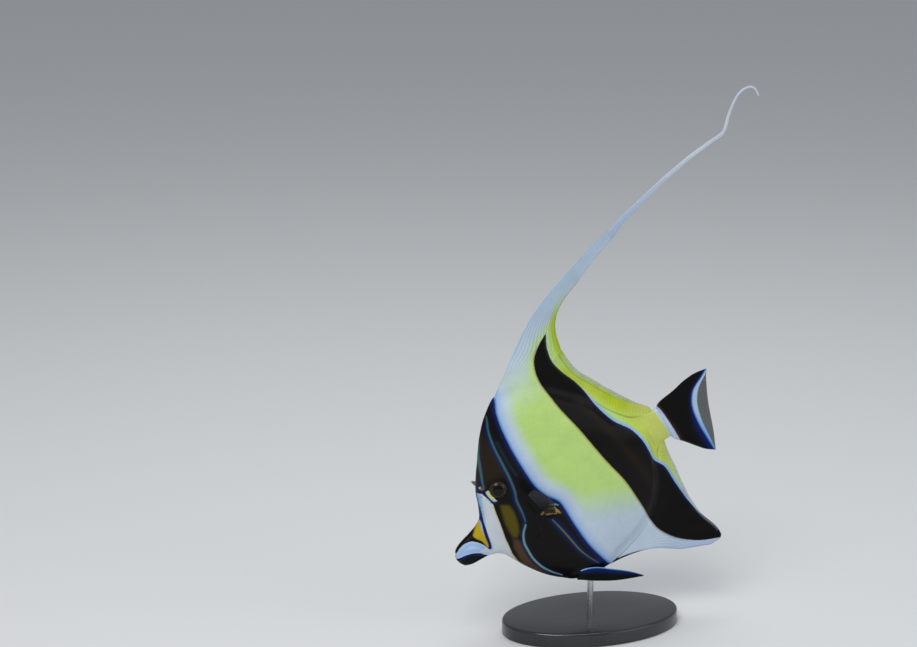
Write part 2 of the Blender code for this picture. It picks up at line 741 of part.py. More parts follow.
# Caudal fin
back_way = Vector((-cos(CAUDAL_SWING), sin(CAUDAL_SWING), 0.0))
up_way = Vector((0.0, 0.0, 1.0))
r_axis = back_way * cos(CAUDAL_DIP) - up_way * sin(CAUDAL_DIP)
h_axis = up_way * cos(CAUDAL_DIP) + back_way * sin(CAUDAL_DIP)
stalk = Vector((BACK[0][0], bend(BACK[0][0]), 0.0))
top_way, edge_way, foot_way = path(CAUDAL_TOP), path(CAUDAL_EDGE), path(CAUDAL_FOOT)
rows, columns = 2 * CAUDAL_RAYS + 1, 9
middle, half = [], []
for i in range(rows):
    s = i / (rows - 1)
    line, thick = [], []
    for j in range(columns):
        t = j / (columns - 1)
        foot = (1 - s) * np.array(CAUDAL_TOP[0]) + s * np.array(CAUDAL_FOOT[0])
        straight = (1 - t) * foot + t * edge_way(s)
        over = top_way(t) - ((1 - t) * np.array(CAUDAL_TOP[0]) + t * np.array(CAUDAL_TOP[-1]))
        under = foot_way(t) - ((1 - t) * np.array(CAUDAL_FOOT[0]) + t * np.array(CAUDAL_FOOT[-1]))
        r, h = straight + (1 - s) ** 2 * over + s ** 2 * under
        # the foot of the fin stands square to the stalk's end and turns into the swung plane
        at = stalk + Vector((-GAP, 0.0, h * (1 - t) ** 2))
        turned = r_axis * r + h_axis * h
        square = up_way * h
        mix = min(t / 0.3, 1.0)
        at = stalk + Vector((-GAP * 1.2, 0.0, 0.0)) + square * (1 - mix) + turned * mix
        line.append(at)
        near = max(1.0 - t / 0.3, 0.0)
        thick.append(near * (2.6 - 1.6 * abs(2 * s - 1)) + (1 - near) * ray_half(i, t, 1.0))
    middle.append(line)
    half.append(thick)
normals = blade_normals(middle)
for i in range(rows):
    for j in range(4):
        mixed = np.array([0.0, np.sign(normals[i][4][1]), 0.0]) * (1 - j / 4)
        mixed = mixed + normals[i][4] * (j / 4)
        normals[i][j] = mixed / np.linalg.norm(mixed)
parts["caudal_fin"] = slab("caudal_fin", middle, normals, half)

# Pectoral fins, each on a root let into the shoulder
for side, label in ((1, "left"), (-1, "right")):
    at, n = surface(*PECTORAL_AT, side)
    axis = Vector((PECTORAL_AXIS[0], 0.0, PECTORAL_AXIS[2])).normalized()
    way = Vector((PECTORAL_WAY[0], side * PECTORAL_WAY[1], PECTORAL_WAY[2]))
    way = (way - axis * way.dot(axis)).normalized()
    face = axis.cross(way)
    centre = at + n * 0.2
    rows, columns = 2 * PECTORAL_RAYS + 1, 7
    middle, half = [], []
    for i in range(rows):
        s = i / (rows - 1)
        fan = PECTORAL_FAN[0] + (PECTORAL_FAN[1] - PECTORAL_FAN[0]) * s
        reach = PECTORAL_LENGTH * (0.6 + 0.4 * max(0.0, sin(pi * (0.2 + 0.8 * s))) ** 0.8)
        ray = way * cos(fan) + axis * sin(fan)
        start = centre + axis * (PECTORAL_BASE * (2 * s - 1))
        line, thick = [], []
        for j in range(columns):
            t = j / (columns - 1)
            line.append(start + ray * (reach * t) + face * (side * PECTORAL_BOW * sin(pi * t * 0.5) ** 2))
            thick.append(ray_half(i, t, 0.9, (0.5, 0.26), (0.3, 0.25)))
        middle.append(line)
        half.append(thick)
    fin = slab("pectoral_fin_" + label, middle, blade_normals(middle), half)
    sizes = (PECTORAL_BASE + 2.0, 3.0, 1.8)
    axes = (axis, way, face)
    fuse(fin, [ball("root", centre, axes, sizes, 16, 8)])
    keep_largest(fin)
    parts[fin.name] = fin
    socket = tuple(r + GAP for r in sizes)
    combine(torso, ball("socket", centre, axes, socket, 16, 8), "DIFFERENCE")

# Pelvic fins
for side, label in ((1, "left"), (-1, "right")):
    turn = PELVIC_RAISED[label]
    at, n = surface(*PELVIC_AT, side)
    centre = at + n * 0.1
    lower, upper = path(PELVIC_LOWER), path(PELVIC_UPPER)
    rows, columns = 2 * PELVIC_RAYS + 1, 9
    middle, half = [], []
    for i in range(rows):
        s = i / (rows - 1)
        line, thick = [], []
        for j in range(columns):
            t = j / (columns - 1)
            x, z = (1 - s) * lower(t) + s * upper(t)
            x, z = x * cos(turn) + z * sin(turn), z * cos(turn) - x * sin(turn)
            p = centre + Vector((x, 0.0, z))
            flank = half_width(p.x, max(p.z, belly_at(p.x)))
            swept = abs(at.y) + 2.2 * sin(pi * min(t * 0.7, 0.5))
            p.y = side * (max(swept, flank) + PELVIC_OFF)
            line.append(p)
            thick.append(ray_half(i, t, 0.75, (0.55, 0.28), (0.36, 0.25)))
        middle.append(line)
        half.append(thick)
    fin = slab("pelvic_fin_" + label, middle, blade_normals(middle), half)
    slant = Vector((PELVIC_LOWER[0][0] - PELVIC_UPPER[0][0], 0.0,
                    PELVIC_LOWER[0][1] - PELVIC_UPPER[0][1])).normalized()
    slant = Vector((slant.x * cos(turn) + slant.z * sin(turn), 0.0,
                    slant.z * cos(turn) - slant.x * sin(turn)))
    axes = (slant, slant.cross(Vector((0, side, 0))), Vector((0, side, 0)))
    sizes = (4.2, 2.4, 1.9)
    fuse(fin, [ball("root", centre, axes, sizes, 14, 8)])
    keep_largest(fin)
    parts[fin.name] = fin
    socket = tuple(r + GAP for r in sizes)
    cutter = ball("socket", centre, axes, socket, 14, 8)
    combine(head, copy_of(cutter, "socket"), "DIFFERENCE")
    combine(torso, cutter, "DIFFERENCE")

# Stand
place = Matrix.Translation(STALK_END) @ Matrix.Rotation(pi, 4, "Z") @ Matrix.Rotation(PITCH, 4, "Y")


def round_bar(name, radius, z0, z1, segments=24):
    return tube(name, [((0, 0, z0), (1, 0, 0), (0, 1, 0), radius, radius),
                       ((0, 0, z1), (1, 0, 0), (0, 1, 0), radius, radius)], segments)


base = tube("stand_base", [
    ((0, 0, 0), (1, 0, 0), (0, 1, 0), BASE_LENGTH / 2, BASE_DEPTH / 2),
    ((0, 0, BASE_HEIGHT - BASE_CHAMFER), (1, 0, 0), (0, 1, 0), BASE_LENGTH / 2, BASE_DEPTH / 2),
    ((0, 0, BASE_HEIGHT), (1, 0, 0), (0, 1, 0), BASE_LENGTH / 2 - BASE_CHAMFER,
     BASE_DEPTH / 2 - BASE_CHAMFER)], 64)
combine(base, round_bar("hole", ROD_RADIUS + GAP, BASE_HEIGHT - ROD_IN_BASE - GAP,
                        BASE_HEIGHT + 5), "DIFFERENCE")
rod_top = BELLY_HEIGHT + ROD_IN_BELLY
rod = round_bar("stand_rod", ROD_RADIUS, BASE_HEIGHT - ROD_IN_BASE, rod_top)
hole = round_bar("hole", ROD_RADIUS + GAP, BASE_HEIGHT + 2, rod_top + GAP)
hole.matrix_world = place.inverted()
combine(torso, hole, "DIFFERENCE")

# Looks, placing and clean-up
looks = {
    "head": material("skin_black", (0.02, 0.018, 0.02), 0.4),
    "torso": material("skin_yellow", (0.74, 0.76, 0.3), 0.4),
    "tail_stalk": material("stalk_yellow", (0.85, 0.8, 0.12), 0.4),
    "upper_jaw": material("snout_white", (0.85, 0.83, 0.75), 0.4),
    "lower_jaw": material("snout_black", (0.03, 0.03, 0.04), 0.4),
    "gill_cover_left": material("cheek_brown", (0.06, 0.05, 0.03), 0.4),
    "eye_left": material("eye_dark", (0.01, 0.008, 0.008), 0.08),
    "horn_left": material("horn_brown", (0.09, 0.07, 0.05), 0.4),
    "dorsal_fin": material("fin_pale", (0.82, 0.84, 0.8), 0.45),
    "dorsal_whip": material("whip_white", (0.84, 0.87, 0.9), 0.45),
    "dorsal_streamer": material("streamer_white", (0.88, 0.9, 0.92), 0.45),
    "anal_fin": material("fin_white", (0.85, 0.86, 0.78), 0.45),
    "caudal_fin": material("fin_black", (0.02, 0.02, 0.025), 0.45),
    "pectoral_fin_left": material("fin_clear", (0.35, 0.4, 0.42), 0.35, 0.0, 0.5),
    "pelvic_fin_left": material("fin_dark", (0.02, 0.02, 0.03), 0.45),
}
for name in list(parts):
    ob = parts[name]
    ob.name = name
    keep_largest(ob)
    key = name.replace("_right", "_left")
    ob.data.materials.clear()
    ob.data.materials.append(looks[key])
    ob.location = STALK_END
    ob.rotation_euler = (0.0, PITCH, pi)
base.data.materials.append(material("base_black", (0.03, 0.03, 0.032), 0.35))
rod.data.materials.append(material("rod_steel", (0.6, 0.6, 0.6), 0.3, 1.0))
for ob in list(parts.values()) + [base, rod]:
    bm = bmesh.new()
    bm.from_mesh(ob.data)
    bmesh.ops.remove_doubles(bm, verts=bm.verts, dist=0.000005)
    bmesh.ops.triangulate(bm, faces=bm.faces)
    bm.to_mesh(ob.data)
    bm.free()
    ob.data.shade_smooth()
    ob.data.set_sharp_from_angle(angle=radians(35.0))
bpy.context.view_layer.update()
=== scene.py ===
"""Looks of a still, life-size moorish idol (Zanclus cornutus) on a plain display stand.

Lengths are in millimetres, except where a name or a comment says metres. The fish has
the frame of its own that its solids have: f runs forward to the snout, y to its left
side and u up its back, from the middle of the end of the tail stalk.
"""
from math import cos, pi, radians, sin

import bpy
import numpy as np
from mathutils import Matrix, Vector


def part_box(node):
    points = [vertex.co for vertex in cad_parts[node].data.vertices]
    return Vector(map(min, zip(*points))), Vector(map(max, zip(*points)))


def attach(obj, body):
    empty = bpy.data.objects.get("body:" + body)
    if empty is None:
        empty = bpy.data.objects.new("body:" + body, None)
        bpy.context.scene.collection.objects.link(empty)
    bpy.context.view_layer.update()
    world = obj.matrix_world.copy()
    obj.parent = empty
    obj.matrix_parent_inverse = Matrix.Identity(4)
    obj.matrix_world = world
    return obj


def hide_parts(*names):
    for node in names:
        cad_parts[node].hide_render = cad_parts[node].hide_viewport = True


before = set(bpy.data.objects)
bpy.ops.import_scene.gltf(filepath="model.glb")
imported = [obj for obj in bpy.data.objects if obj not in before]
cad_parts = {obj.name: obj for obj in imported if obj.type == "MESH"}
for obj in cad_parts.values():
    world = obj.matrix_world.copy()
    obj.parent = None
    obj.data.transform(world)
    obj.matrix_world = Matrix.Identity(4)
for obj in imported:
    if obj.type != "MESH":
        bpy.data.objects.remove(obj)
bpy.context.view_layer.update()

MM = 0.001
PITCH = radians(28.0)
STALK_END = Vector((0.03892, 0.0, 0.11672))  # in metres
PLACE = Matrix.Translation(STALK_END) @ Matrix.Rotation(pi, 4, "Z") @ Matrix.Rotation(PITCH, 4, "Y")

# Camera, at the photo's angle, in metres
camera = bpy.data.objects.new("camera", bpy.data.cameras.new("camera"))
bpy.context.scene.collection.objects.link(camera)
camera.location = (-0.5467, -1.2796, 0.5264)
look_at = Vector((-0.0691, 0.0326, 0.1782))
camera.rotation_euler = (look_at - camera.location).to_track_quat("-Z", "Y").to_euler()
camera.data.lens = 100.0
camera.data.sensor_width = 36.0
camera.data.clip_start = 0.05
bpy.context.scene.camera = camera
bpy.context.scene.view_settings.view_transform = "Standard"

# Body: outline in the side view, half width, and how its section closes at the edges
BACK = [(-5.6, 9.2), (0.0, 9.5), (10.0, 13.0), (19.0, 23.0), (28.0, 38.5), (38.0, 51.0),
        (50.0, 62.0), (62.0, 68.0), (74.5, 69.2), (84.3, 63.2), (92.3, 54.6), (102.0, 40.0),
        (106.6, 32.7), (110.0, 26.0), (112.3, 18.6), (115.8, 11.2), (124.0, 7.3),
        (131.0, 5.4), (136.0, 3.0), (138.2, -0.6)]
BELLY = [(-5.6, -9.7), (0.0, -10.2), (6.0, -14.0), (9.5, -24.0), (15.0, -36.0), (27.0, -48.0),
         (42.0, -54.4), (56.0, -57.6), (66.0, -58.4), (74.0, -57.8), (81.0, -55.4),
         (91.0, -47.9), (97.8, -40.9), (103.8, -32.4), (107.5, -26.2), (110.4, -20.6),
         (113.0, -15.8), (117.3, -12.4), (123.3, -10.6), (130.0, -10.2), (135.5, -8.4),
         (138.2, -4.4)]
HALF_WIDTH = [(-5.6, 3.0), (0.0, 3.3), (15.0, 5.4), (30.0, 7.6), (51.0, 10.0), (71.0, 11.0),
              (84.0, 10.7), (96.0, 9.5), (104.0, 8.0), (110.0, 6.5), (116.0, 5.0),
              (124.0, 4.3), (132.0, 3.6), (136.5, 2.6), (138.2, 1.2)]
BACK_EDGE = [(-5.6, 1.0), (72.0, 1.0), (84.0, 1.6), (104.0, 1.9), (116.0, 0.7), (138.2, 0.4)]
BELLY_EDGE = [(-5.6, 1.0), (54.0, 1.0), (66.0, 1.9), (100.0, 1.8), (115.0, 0.8), (138.2, 0.4)]
BACK_POWER = [(-5.6, 0.6), (20.0, 0.75), (70.0, 0.75), (84.0, 0.62), (110.0, 0.5), (138.2, 0.5)]
BELLY_POWER = [(-5.6, 0.6), (20.0, 0.75), (52.0, 0.72), (66.0, 0.5), (138.2, 0.5)]
BEND_START = 12.0
BEND_RATE = 0.0096
SNOUT_CLOSES = 137.3
SNOUT_ROUND = 0.9
SKIN_STEPS = [(-5.6, 0.4), (12.0, 0.32), (24.0, 0.55), (80.0, 0.55), (90.0, 0.34),
              (124.0, 0.30), (132.0, 0.2), (138.2, 0.1)]
HALF_RING = 250

# Head
EYE_AT = (99.8, 23.5)
EYE_RADIUS = 5.3
EYE_DEPTH = 3.4
EYE_SUNK = 1.7
HORN_AT = (106.8, 28.4)
HORN_WAY = (0.52, 0.62, 0.58)
HORN_LENGTH = 3.4
HORN_RADIUS = 1.4
NOSTRILS = [(109.6, 23.4, 0.75), (107.8, 21.0, 0.6)]
MOUTH = [(139.0, -1.9), (135.0, -1.9), (130.0, -3.0), (125.0, -5.8), (121.0, -8.3)]
COVER = [(96.6, 12.6), (92.2, 14.0), (89.4, 11.4), (88.0, 5.0), (87.5, -2.0), (88.3, -8.6),
         (91.2, -13.0), (95.4, -13.4), (98.6, -9.6), (99.8, -2.0), (99.0, 5.8)]
SIDE_LINE = [(90.0, 20.0), (82.0, 38.0), (68.0, 49.0), (50.0, 45.0), (34.0, 28.0), (20.0, 11.0),
             (8.0, 3.0), (-5.0, 0.6)]

# Fins in the middle plane
DORSAL_BASE = (75.2, -0.4)
DORSAL_FRONT = [(75.2, 69.4), (61.1, 80.3), (51.8, 86.8), (43.0, 92.9), (33.4, 98.4),
                (22.8, 103.0), (11.0, 106.8), (-1.4, 110.6), (-13.8, 114.2), (-27.4, 117.1)]
DORSAL_SPLIT = 0.27
DORSAL_INNER = [(52.0, 63.3), (41.0, 67.0), (28.4, 71.9), (26.4, 82.4), (21.6, 90.6),
                (13.1, 96.4), (2.4, 100.5), (-10.1, 106.0), (-28.7, 112.1)]
DORSAL_CORNER = 2
DORSAL_RAYS = (12, 36)
DORSAL_REAR = [(28.4, 71.9), (26.6, 59.0), (19.4, 44.3), (10.4, 28.6), (4.0, 18.8), (-1.6, 11.6)]
STREAMER = [(-24.8, 113.5), (-28.4, 114.7), (-38.1, 118.1), (-51.3, 121.1), (-64.7, 124.1),
            (-77.7, 126.4), (-90.4, 128.1), (-102.6, 128.9), (-108.7, 129.1), (-111.5, 129.4),
            (-113.8, 130.5), (-116.4, 133.1), (-119.5, 136.4), (-122.9, 139.4),
            (-126.8, 142.3), (-130.7, 144.4), (-134.5, 145.1), (-138.0, 144.5),
            (-140.1, 142.8), (-140.9, 140.3), (-140.8, 137.0)]
STREAMER_HEIGHT = [(0.0, 2.5), (0.12, 1.85), (0.35, 1.4), (0.7, 1.05), (0.85, 0.75), (1.0, 0.5)]
STREAMER_THICK = [(0.0, 0.42), (0.3, 0.4), (1.0, 0.25)]
ANAL_BASE = (60.5, -0.4)
ANAL_FRONT = [(60.5, -58.5), (54.7, -59.4), (43.7, -62.4), (37.1, -64.9), (29.9, -69.2),
              (19.6, -76.9), (9.2, -81.9), (0.9, -85.2), (-3.6, -85.2)]
ANAL_REAR = [(-5.6, -82.6), (-5.4, -78.1), (-1.6, -67.4), (0.3, -60.0), (1.3, -48.2),
             (1.0, -38.8), (0.3, -26.3), (0.2, -18.0), (-0.3, -12.4)]

# Caudal fin, in its own plane: r behind the end of the stalk, h up
CAUDAL_SWING = radians(30.0)
CAUDAL_DIP = radians(9.0)
CAUDAL_TOP = [(-1.44, 9.1), (-0.5, 11.5), (1.5, 13.4), (5.3, 15.8), (9.8, 18.3), (16.8, 22.8),
              (24.5, 26.2), (31.6, 27.6)]
CAUDAL_EDGE = [(31.6, 27.6), (29.9, 21.8), (28.8, 16.1), (27.7, 10.4), (26.9, 4.6), (26.3, -1.2),
               (25.8, -7.1), (25.2, -13.0), (24.3, -18.9), (23.3, -25.0)]
CAUDAL_FOOT = [(1.5, -9.5), (2.4, -11.9), (4.7, -13.6), (9.2, -16.9), (13.5, -20.2), (18.0, -23.1),
               (23.3, -25.0)]

# Paired fins
PECTORAL_AT = (80.0, -5.2)
PECTORAL_BASE = 3.2
PECTORAL_LENGTH = 26.0
PECTORAL_AXIS = (-0.88, 0.0, -0.47)
PECTORAL_WAY = (0.34, 0.40, 0.85)
PECTORAL_FAN = (radians(-40.0), radians(-22.0))
PECTORAL_BOW = -1.6
PELVIC_AT = (82.0, -50.0)
PELVIC_LOWER = [(1.9, -2.4), (-3.9, -6.4), (-16.6, -14.6), (-26.0, -19.4), (-33.0, -22.6)]
PELVIC_UPPER = [(-2.3, 1.9), (-9.4, -0.6), (-18.6, -7.6), (-27.0, -15.2), (-32.4, -21.4)]
PELVIC_RAISED = {"left": radians(0.0), "right": radians(14.0)}
PELVIC_OFF = 1.4

# Markings in the side view
BAR1_REAR = [(74.9, 70.4), (79.6, 61.4), (81.6, 50.9), (82.3, 38.3), (81.9, 25.7), (81.2, 16.5),
             (78.1, 6.6), (72.4, -3.3), (71.3, -18.3), (69.3, -34.5), (64.2, -52.6),
             (61.5, -60.0)]
BAR2_FRONT = [(31.8, 85.2), (39.0, 81.1), (45.8, 73.8), (48.2, 63.4), (47.0, 49.6),
              (42.0, 26.7), (37.2, 2.9), (32.2, -16.9), (30.1, -33.2), (27.4, -54.2),
              (22.6, -64.3), (9.2, -77.6), (-5.0, -85.0)]
BAR2_REAR = [(31.8, 85.2), (35.4, 76.5), (36.3, 69.6), (34.2, 60.3), (30.3, 51.4),
             (27.6, 41.8), (26.3, 33.7), (22.0, 19.5), (13.8, 5.9), (11.5, -4.4),
             (11.1, -14.8), (5.8, -26.9), (4.9, -38.7), (3.2, -51.0), (0.8, -61.7),
             (-3.0, -71.3), (-5.6, -79.5)]
SNOUT_WHITE = [(109.9, 26.2), (110.9, 22.8), (111.9, 19.2), (113.2, 14.8), (114.9, 9.8),
               (116.0, 5.0), (116.9, 0.6), (117.5, -3.6), (118.1, -6.0), (120.4, -8.0),
               (122.0, -8.6), (124.0, -14.0), (112.0, -28.0), (106.4, -29.0), (108.4, -23.0),
               (109.5, -16.0), (109.3, -11.6), (109.0, -4.5), (107.8, 4.1), (106.9, 11.6),
               (106.0, 17.0), (107.0, 21.5), (108.4, 25.6)]
WHITE_FRONT = [(110.3, 25.4), (112.0, 20.0), (113.3, 15.6), (115.0, 11.0), (116.4, 7.2),
               (117.3, 3.6), (117.9, 0.0), (118.3, -3.6), (118.8, -6.2)]
WHITE_BACK = [(106.0, 17.0), (106.9, 11.6), (107.8, 4.1), (109.0, -4.5), (109.3, -11.6),
              (109.5, -16.0), (108.4, -23.0)]
SADDLE = [(115.9, 11.0), (116.6, 8.4), (117.9, 5.0), (118.8, 1.0), (119.2, -3.0),
          (119.8, -4.2), (120.3, -1.4), (120.9, 1.0), (122.4, 3.2), (123.5, 5.4),
          (121.7, 7.0), (118.4, 9.2)]
UPPER_LIP = [(138.4, 0.6), (136.5, 1.8), (133.4, 3.5), (130.2, 4.2), (127.0, 3.9),
             (124.8, 2.4), (122.6, 0.0), (120.8, -3.4), (119.6, -6.4), (118.0, -7.4),
             (119.7, -10.4), (122.4, -8.6), (125.0, -5.9), (128.0, -3.6), (131.0, -2.2),
             (135.0, -1.5), (138.6, -1.4)]
UNDER_EYE = [(104.4, 26.0), (104.2, 23.9), (103.9, 21.7), (103.5, 19.4), (103.0, 18.1),
             (104.4, 18.1), (105.5, 19.7), (106.1, 22.3), (106.4, 24.9), (106.0, 25.8)]
EYE_LINE = [(84.5, 62.5), (88.1, 55.4), (89.2, 50.9), (90.2, 43.7), (90.6, 34.0), (91.0, 26.1),
            (92.1, 17.8), (93.8, 11.9), (94.1, 5.0), (94.9, -1.3)]
GILL_LINE = [(95.8, -3.2), (99.4, -7.9), (101.3, -14.9), (101.0, -22.7), (99.0, -31.1),
             (95.4, -38.2), (90.3, -45.0)]
BREAST_LINE = [(81.0, -9.3), (79.3, -16.0), (77.3, -24.8), (75.2, -34.9), (72.6, -42.2),
               (68.3, -51.0)]
BROW_LINE = [(94.4, 52.6), (96.5, 49.0), (98.9, 45.0), (100.8, 41.0), (102.5, 37.2),
             (104.2, 33.2), (105.2, 30.5), (105.7, 28.0)]
HOOK = [(110.0, 28.2), (108.4, 27.4), (107.3, 25.3), (106.8, 22.1), (106.0, 19.3),
        (104.6, 17.6), (103.0, 17.2)]
CHEEK = [(103.4, 15.6), (100.4, 14.6), (98.0, 12.6), (97.3, 8.0), (98.2, 0.6), (100.2, -5.3),
         (103.6, -8.6), (106.0, -6.0), (106.2, 1.0), (105.1, 9.0)]
LOWER_CHEEK = [(106.0, -7.0), (102.6, -10.0), (102.6, -18.0), (101.5, -27.0), (96.0, -39.0),
               (99.0, -40.5), (105.0, -32.0), (107.6, -24.0), (107.6, -14.0)]
BELLY_LINE = [(66.5, -58.2), (61.0, -58.4), (55.0, -59.5), (48.0, -61.4), (38.0, -65.0)]
PECTORAL_ARC = [(85.3, -2.6), (82.7, -1.9), (79.5, -2.6), (76.9, -4.7), (75.3, -7.9)]
PECTORAL_LINE = [(78.8, -0.4), (76.4, -1.2), (74.1, -3.3)]
STALK_WHITE = [(-0.8, 12.6), (-1.8, 10.1), (-2.4, 5.5), (-3.2, -0.6), (-3.6, -6.2), (-2.4, -12.0)]
CROWN_LINE = [(50, 66), (46, 76), (38, 83), (31, 86)]
FAINT_LINE = [(87.2, 48.0), (87.6, 36.0), (87.0, 26.0)]
STREAK_LINE = [(33.0, 40.0), (24.0, 5.0), (18.0, -30.0)]
HEAD_START = 84.0
NECK_END = 86.0
BAR2_TOP = 92.0

# Base colours, as linear red, green and blue
WHITE = (0.54, 0.65, 0.77)
LAVENDER = (0.40, 0.53, 0.78)
LIME = (0.50, 0.72, 0.19)
YELLOW = (0.50, 0.70, 0.05)
SKY = (0.30, 0.50, 0.80)
DEEP_BLUE = (0.003, 0.016, 0.13)
BLACK = (0.0045, 0.0035, 0.0035)
BROWN = (0.022, 0.014, 0.006)
OLIVE = (0.092, 0.072, 0.004)
UMBER = (0.075, 0.042, 0.018)
TEAL = (0.055, 0.15, 0.15)
PALE_TEAL = (0.17, 0.33, 0.31)
NAVY = (0.005, 0.005, 0.075)
SNOUT = (0.60, 0.65, 0.70)
SADDLE_YELLOW = (0.46, 0.34, 0.012)
SNOUT_BLUE = (0.22, 0.46, 0.78)
SNOUT_GOLD = (0.50, 0.40, 0.07)
LIP_BLUE = (0.26, 0.46, 0.82)
FLASH_TEAL = (0.30, 0.52, 0.55)
# olive of the painted shade along the feet of the dorsal and anal fins near the stalk
FOOT_SHADE_OLIVE = (0.17, 0.19, 0.012)
RUST = (0.27, 0.15, 0.03)
BAR_BLUE = (0.03, 0.13, 0.46)
BREAST_GREEN = (0.13, 0.17, 0.10)
FAINT_TEAL = (0.012, 0.035, 0.06)
DARK_GREEN = (0.012, 0.05, 0.008)
AXIL_TEAL = (0.20, 0.36, 0.33)
ARC_GOLD = (0.36, 0.24, 0.05)
STALK_GOLD = (0.57, 0.62, 0.16)
PALE_LIME = (0.52, 0.79, 0.31)
EYE_FLASH = (0.66, 0.62, 0.34)


# Curves and fields
def curve(points):
    """A smooth curve through (place, value) pairs that never overshoots them."""
    x, y = np.array(points, float).T
    h = np.diff(x)
    d = np.diff(y) / h
    m = np.concatenate([[d[0]], np.zeros(len(x) - 2), [d[-1]]])
    for i in range(1, len(x) - 1):
        if d[i - 1] * d[i] > 0.0:
            a = 2.0 * h[i] + h[i - 1]
            b = h[i] + 2.0 * h[i - 1]
            m[i] = (a + b) / (a / d[i - 1] + b / d[i])

    def at(v):
        v = np.clip(v, x[0], x[-1])
        i = np.clip(np.searchsorted(x, v) - 1, 0, len(h) - 1)
        t = (v - x[i]) / h[i]
        return ((1 + 2 * t) * (1 - t) ** 2 * y[i] + t * (1 - t) ** 2 * h[i] * m[i]
                + t * t * (3 - 2 * t) * y[i + 1] + t * t * (t - 1) * h[i] * m[i + 1])

    return at


def path(points):
    """A smooth path through points, called with 0 to 1 along its length."""
    p = np.array(points, float)
    s = np.concatenate([[0.0], np.cumsum(np.linalg.norm(np.diff(p, axis=0), axis=1))])
    s /= s[-1]
    ways = [curve(list(zip(s, p[:, k]))) for k in range(p.shape[1])]
    return lambda t: np.stack([way(np.asarray(t, float)) for way in ways], axis=-1)


def smooth(x, low, high):
    t = np.clip((x - low) / (high - low), 0.0, 1.0)
    return t * t * (3 - 2 * t)


def hump(x, width):
    return np.exp(-(x / width) ** 2)


def traced(points, steps=70):
    """A marking's line, drawn smoothly through its points."""
    return path(points)(np.linspace(0.0, 1.0, steps))


def nearest(f, u, a, b):
    """How far along a straight piece places lie, 0 to 1, and their distance squared."""
    (ax, ay), (bx, by) = a, b
    dx, dy = bx - ax, by - ay
    t = np.clip(((f - ax) * dx + (u - ay) * dy) / (dx * dx + dy * dy), 0.0, 1.0)
    return t, (f - ax - t * dx) ** 2 + (u - ay - t * dy) ** 2


def away(f, u, line):
    """Distance of places in the side view from a line."""
    best = np.full(f.shape, 1e9)
    for a, b in zip(line[:-1], line[1:]):
        best = np.minimum(best, nearest(f, u, a, b)[1])
    return np.sqrt(best)


def off_line(f, u, points, steps=70, first=0):
    """Distance of places in the side view from the smooth line through points."""
    return away(f, u, traced(points, steps)[first:])


def within(f, u, outline):
    """How deep places lie inside a closed outline, or less than 0 outside it."""
    hit = np.zeros(f.shape, bool)
    for (ax, ay), (bx, by) in zip(outline, np.roll(outline, -1, axis=0)):
        if ay != by:
            hit ^= ((ay > u) != (by > u)) & (f < (bx - ax) * (u - ay) / (by - ay) + ax)
    d = away(f, u, np.vstack([outline, outline[:1]]))
    return np.where(hit, d, -d)


def stroke(f, u, points, widths):
    """How deep places lie inside a line of varying half width."""
    line = traced(points, 50)
    wide = np.interp(np.linspace(0, 1, 50), np.linspace(0, 1, len(widths)), widths)
    best = np.full(f.shape, -1e9)
    for k in range(49):
        t, squared = nearest(f, u, line[k], line[k + 1])
        best = np.maximum(best, wide[k] * (1 - t) + wide[k + 1] * t - np.sqrt(squared))
    return best


def blend(a, b, weight):
    """Colours a turned into b by a weight for each place."""
    w = np.asarray(weight)[:, None]
    return np.asarray(a) * (1 - w) + np.asarray(b) * w


def layered(colours, *layers):
    """Colours with others laid over them in turn, each by its own weight."""
    for colour, weight in layers:
        colours = blend(colours, colour, weight)
    return colours


def closed(f, u, points, steps=90):
    """How deep places lie inside a smooth closed outline, or less than 0 outside it."""
    return within(f, u, traced(points + points[:1], steps)[:-1])


def place_on(line, u):
    """How far forward a line that runs down the side lies at each height."""
    return np.interp(-u, -line[:, 1], line[:, 0])


back_at = curve(BACK)
belly_at = curve(BELLY)
width_at = curve(HALF_WIDTH)
back_edge_at = curve(BACK_EDGE)
belly_edge_at = curve(BELLY_EDGE)
back_power_at = curve(BACK_POWER)
belly_power_at = curve(BELLY_POWER)


def off_edge(f, gap, edge_at):
    """Distance from an edge of the outline, from the gap straight up or down to it."""
    slope = (edge_at(f + 0.3) - edge_at(f - 0.3)) / 0.6
    return gap / np.sqrt(1 + slope * slope)


def bend(f):
    """How far the middle of the body lies to the left at f."""
    return BEND_RATE * np.maximum(BEND_START - f, 0.0) ** 2


def half_width(f, u):
    """Half the thickness of the body at places in the side view."""
    top, foot = back_at(f), belly_at(f)
    mid = 0.5 * (top + foot)
    v = np.clip(np.where(u >= mid, (u - mid) / (top - mid), (mid - u) / (mid - foot)), 0.0, 1.0)
    edge = np.where(u >= mid, back_edge_at(f), belly_edge_at(f))
    power = np.where(u >= mid, back_power_at(f), belly_power_at(f))
    edge = np.minimum(edge, 0.6 * width_at(f))
    return edge + (width_at(f) - edge) * (1.0 - v * v) ** power


def surface(f, u, side=1):
    """A point of the skin and its outward normal, on the left (1) or right (-1)."""
    d = 0.4
    wf = (half_width(f + d, u) - half_width(f - d, u)) / (2 * d)
    wu = (half_width(f, u + d) - half_width(f, u - d)) / (2 * d)
    n = Vector((-wf, side, -wu)).normalized()
    return Vector((f, side * half_width(f, u), u)), n


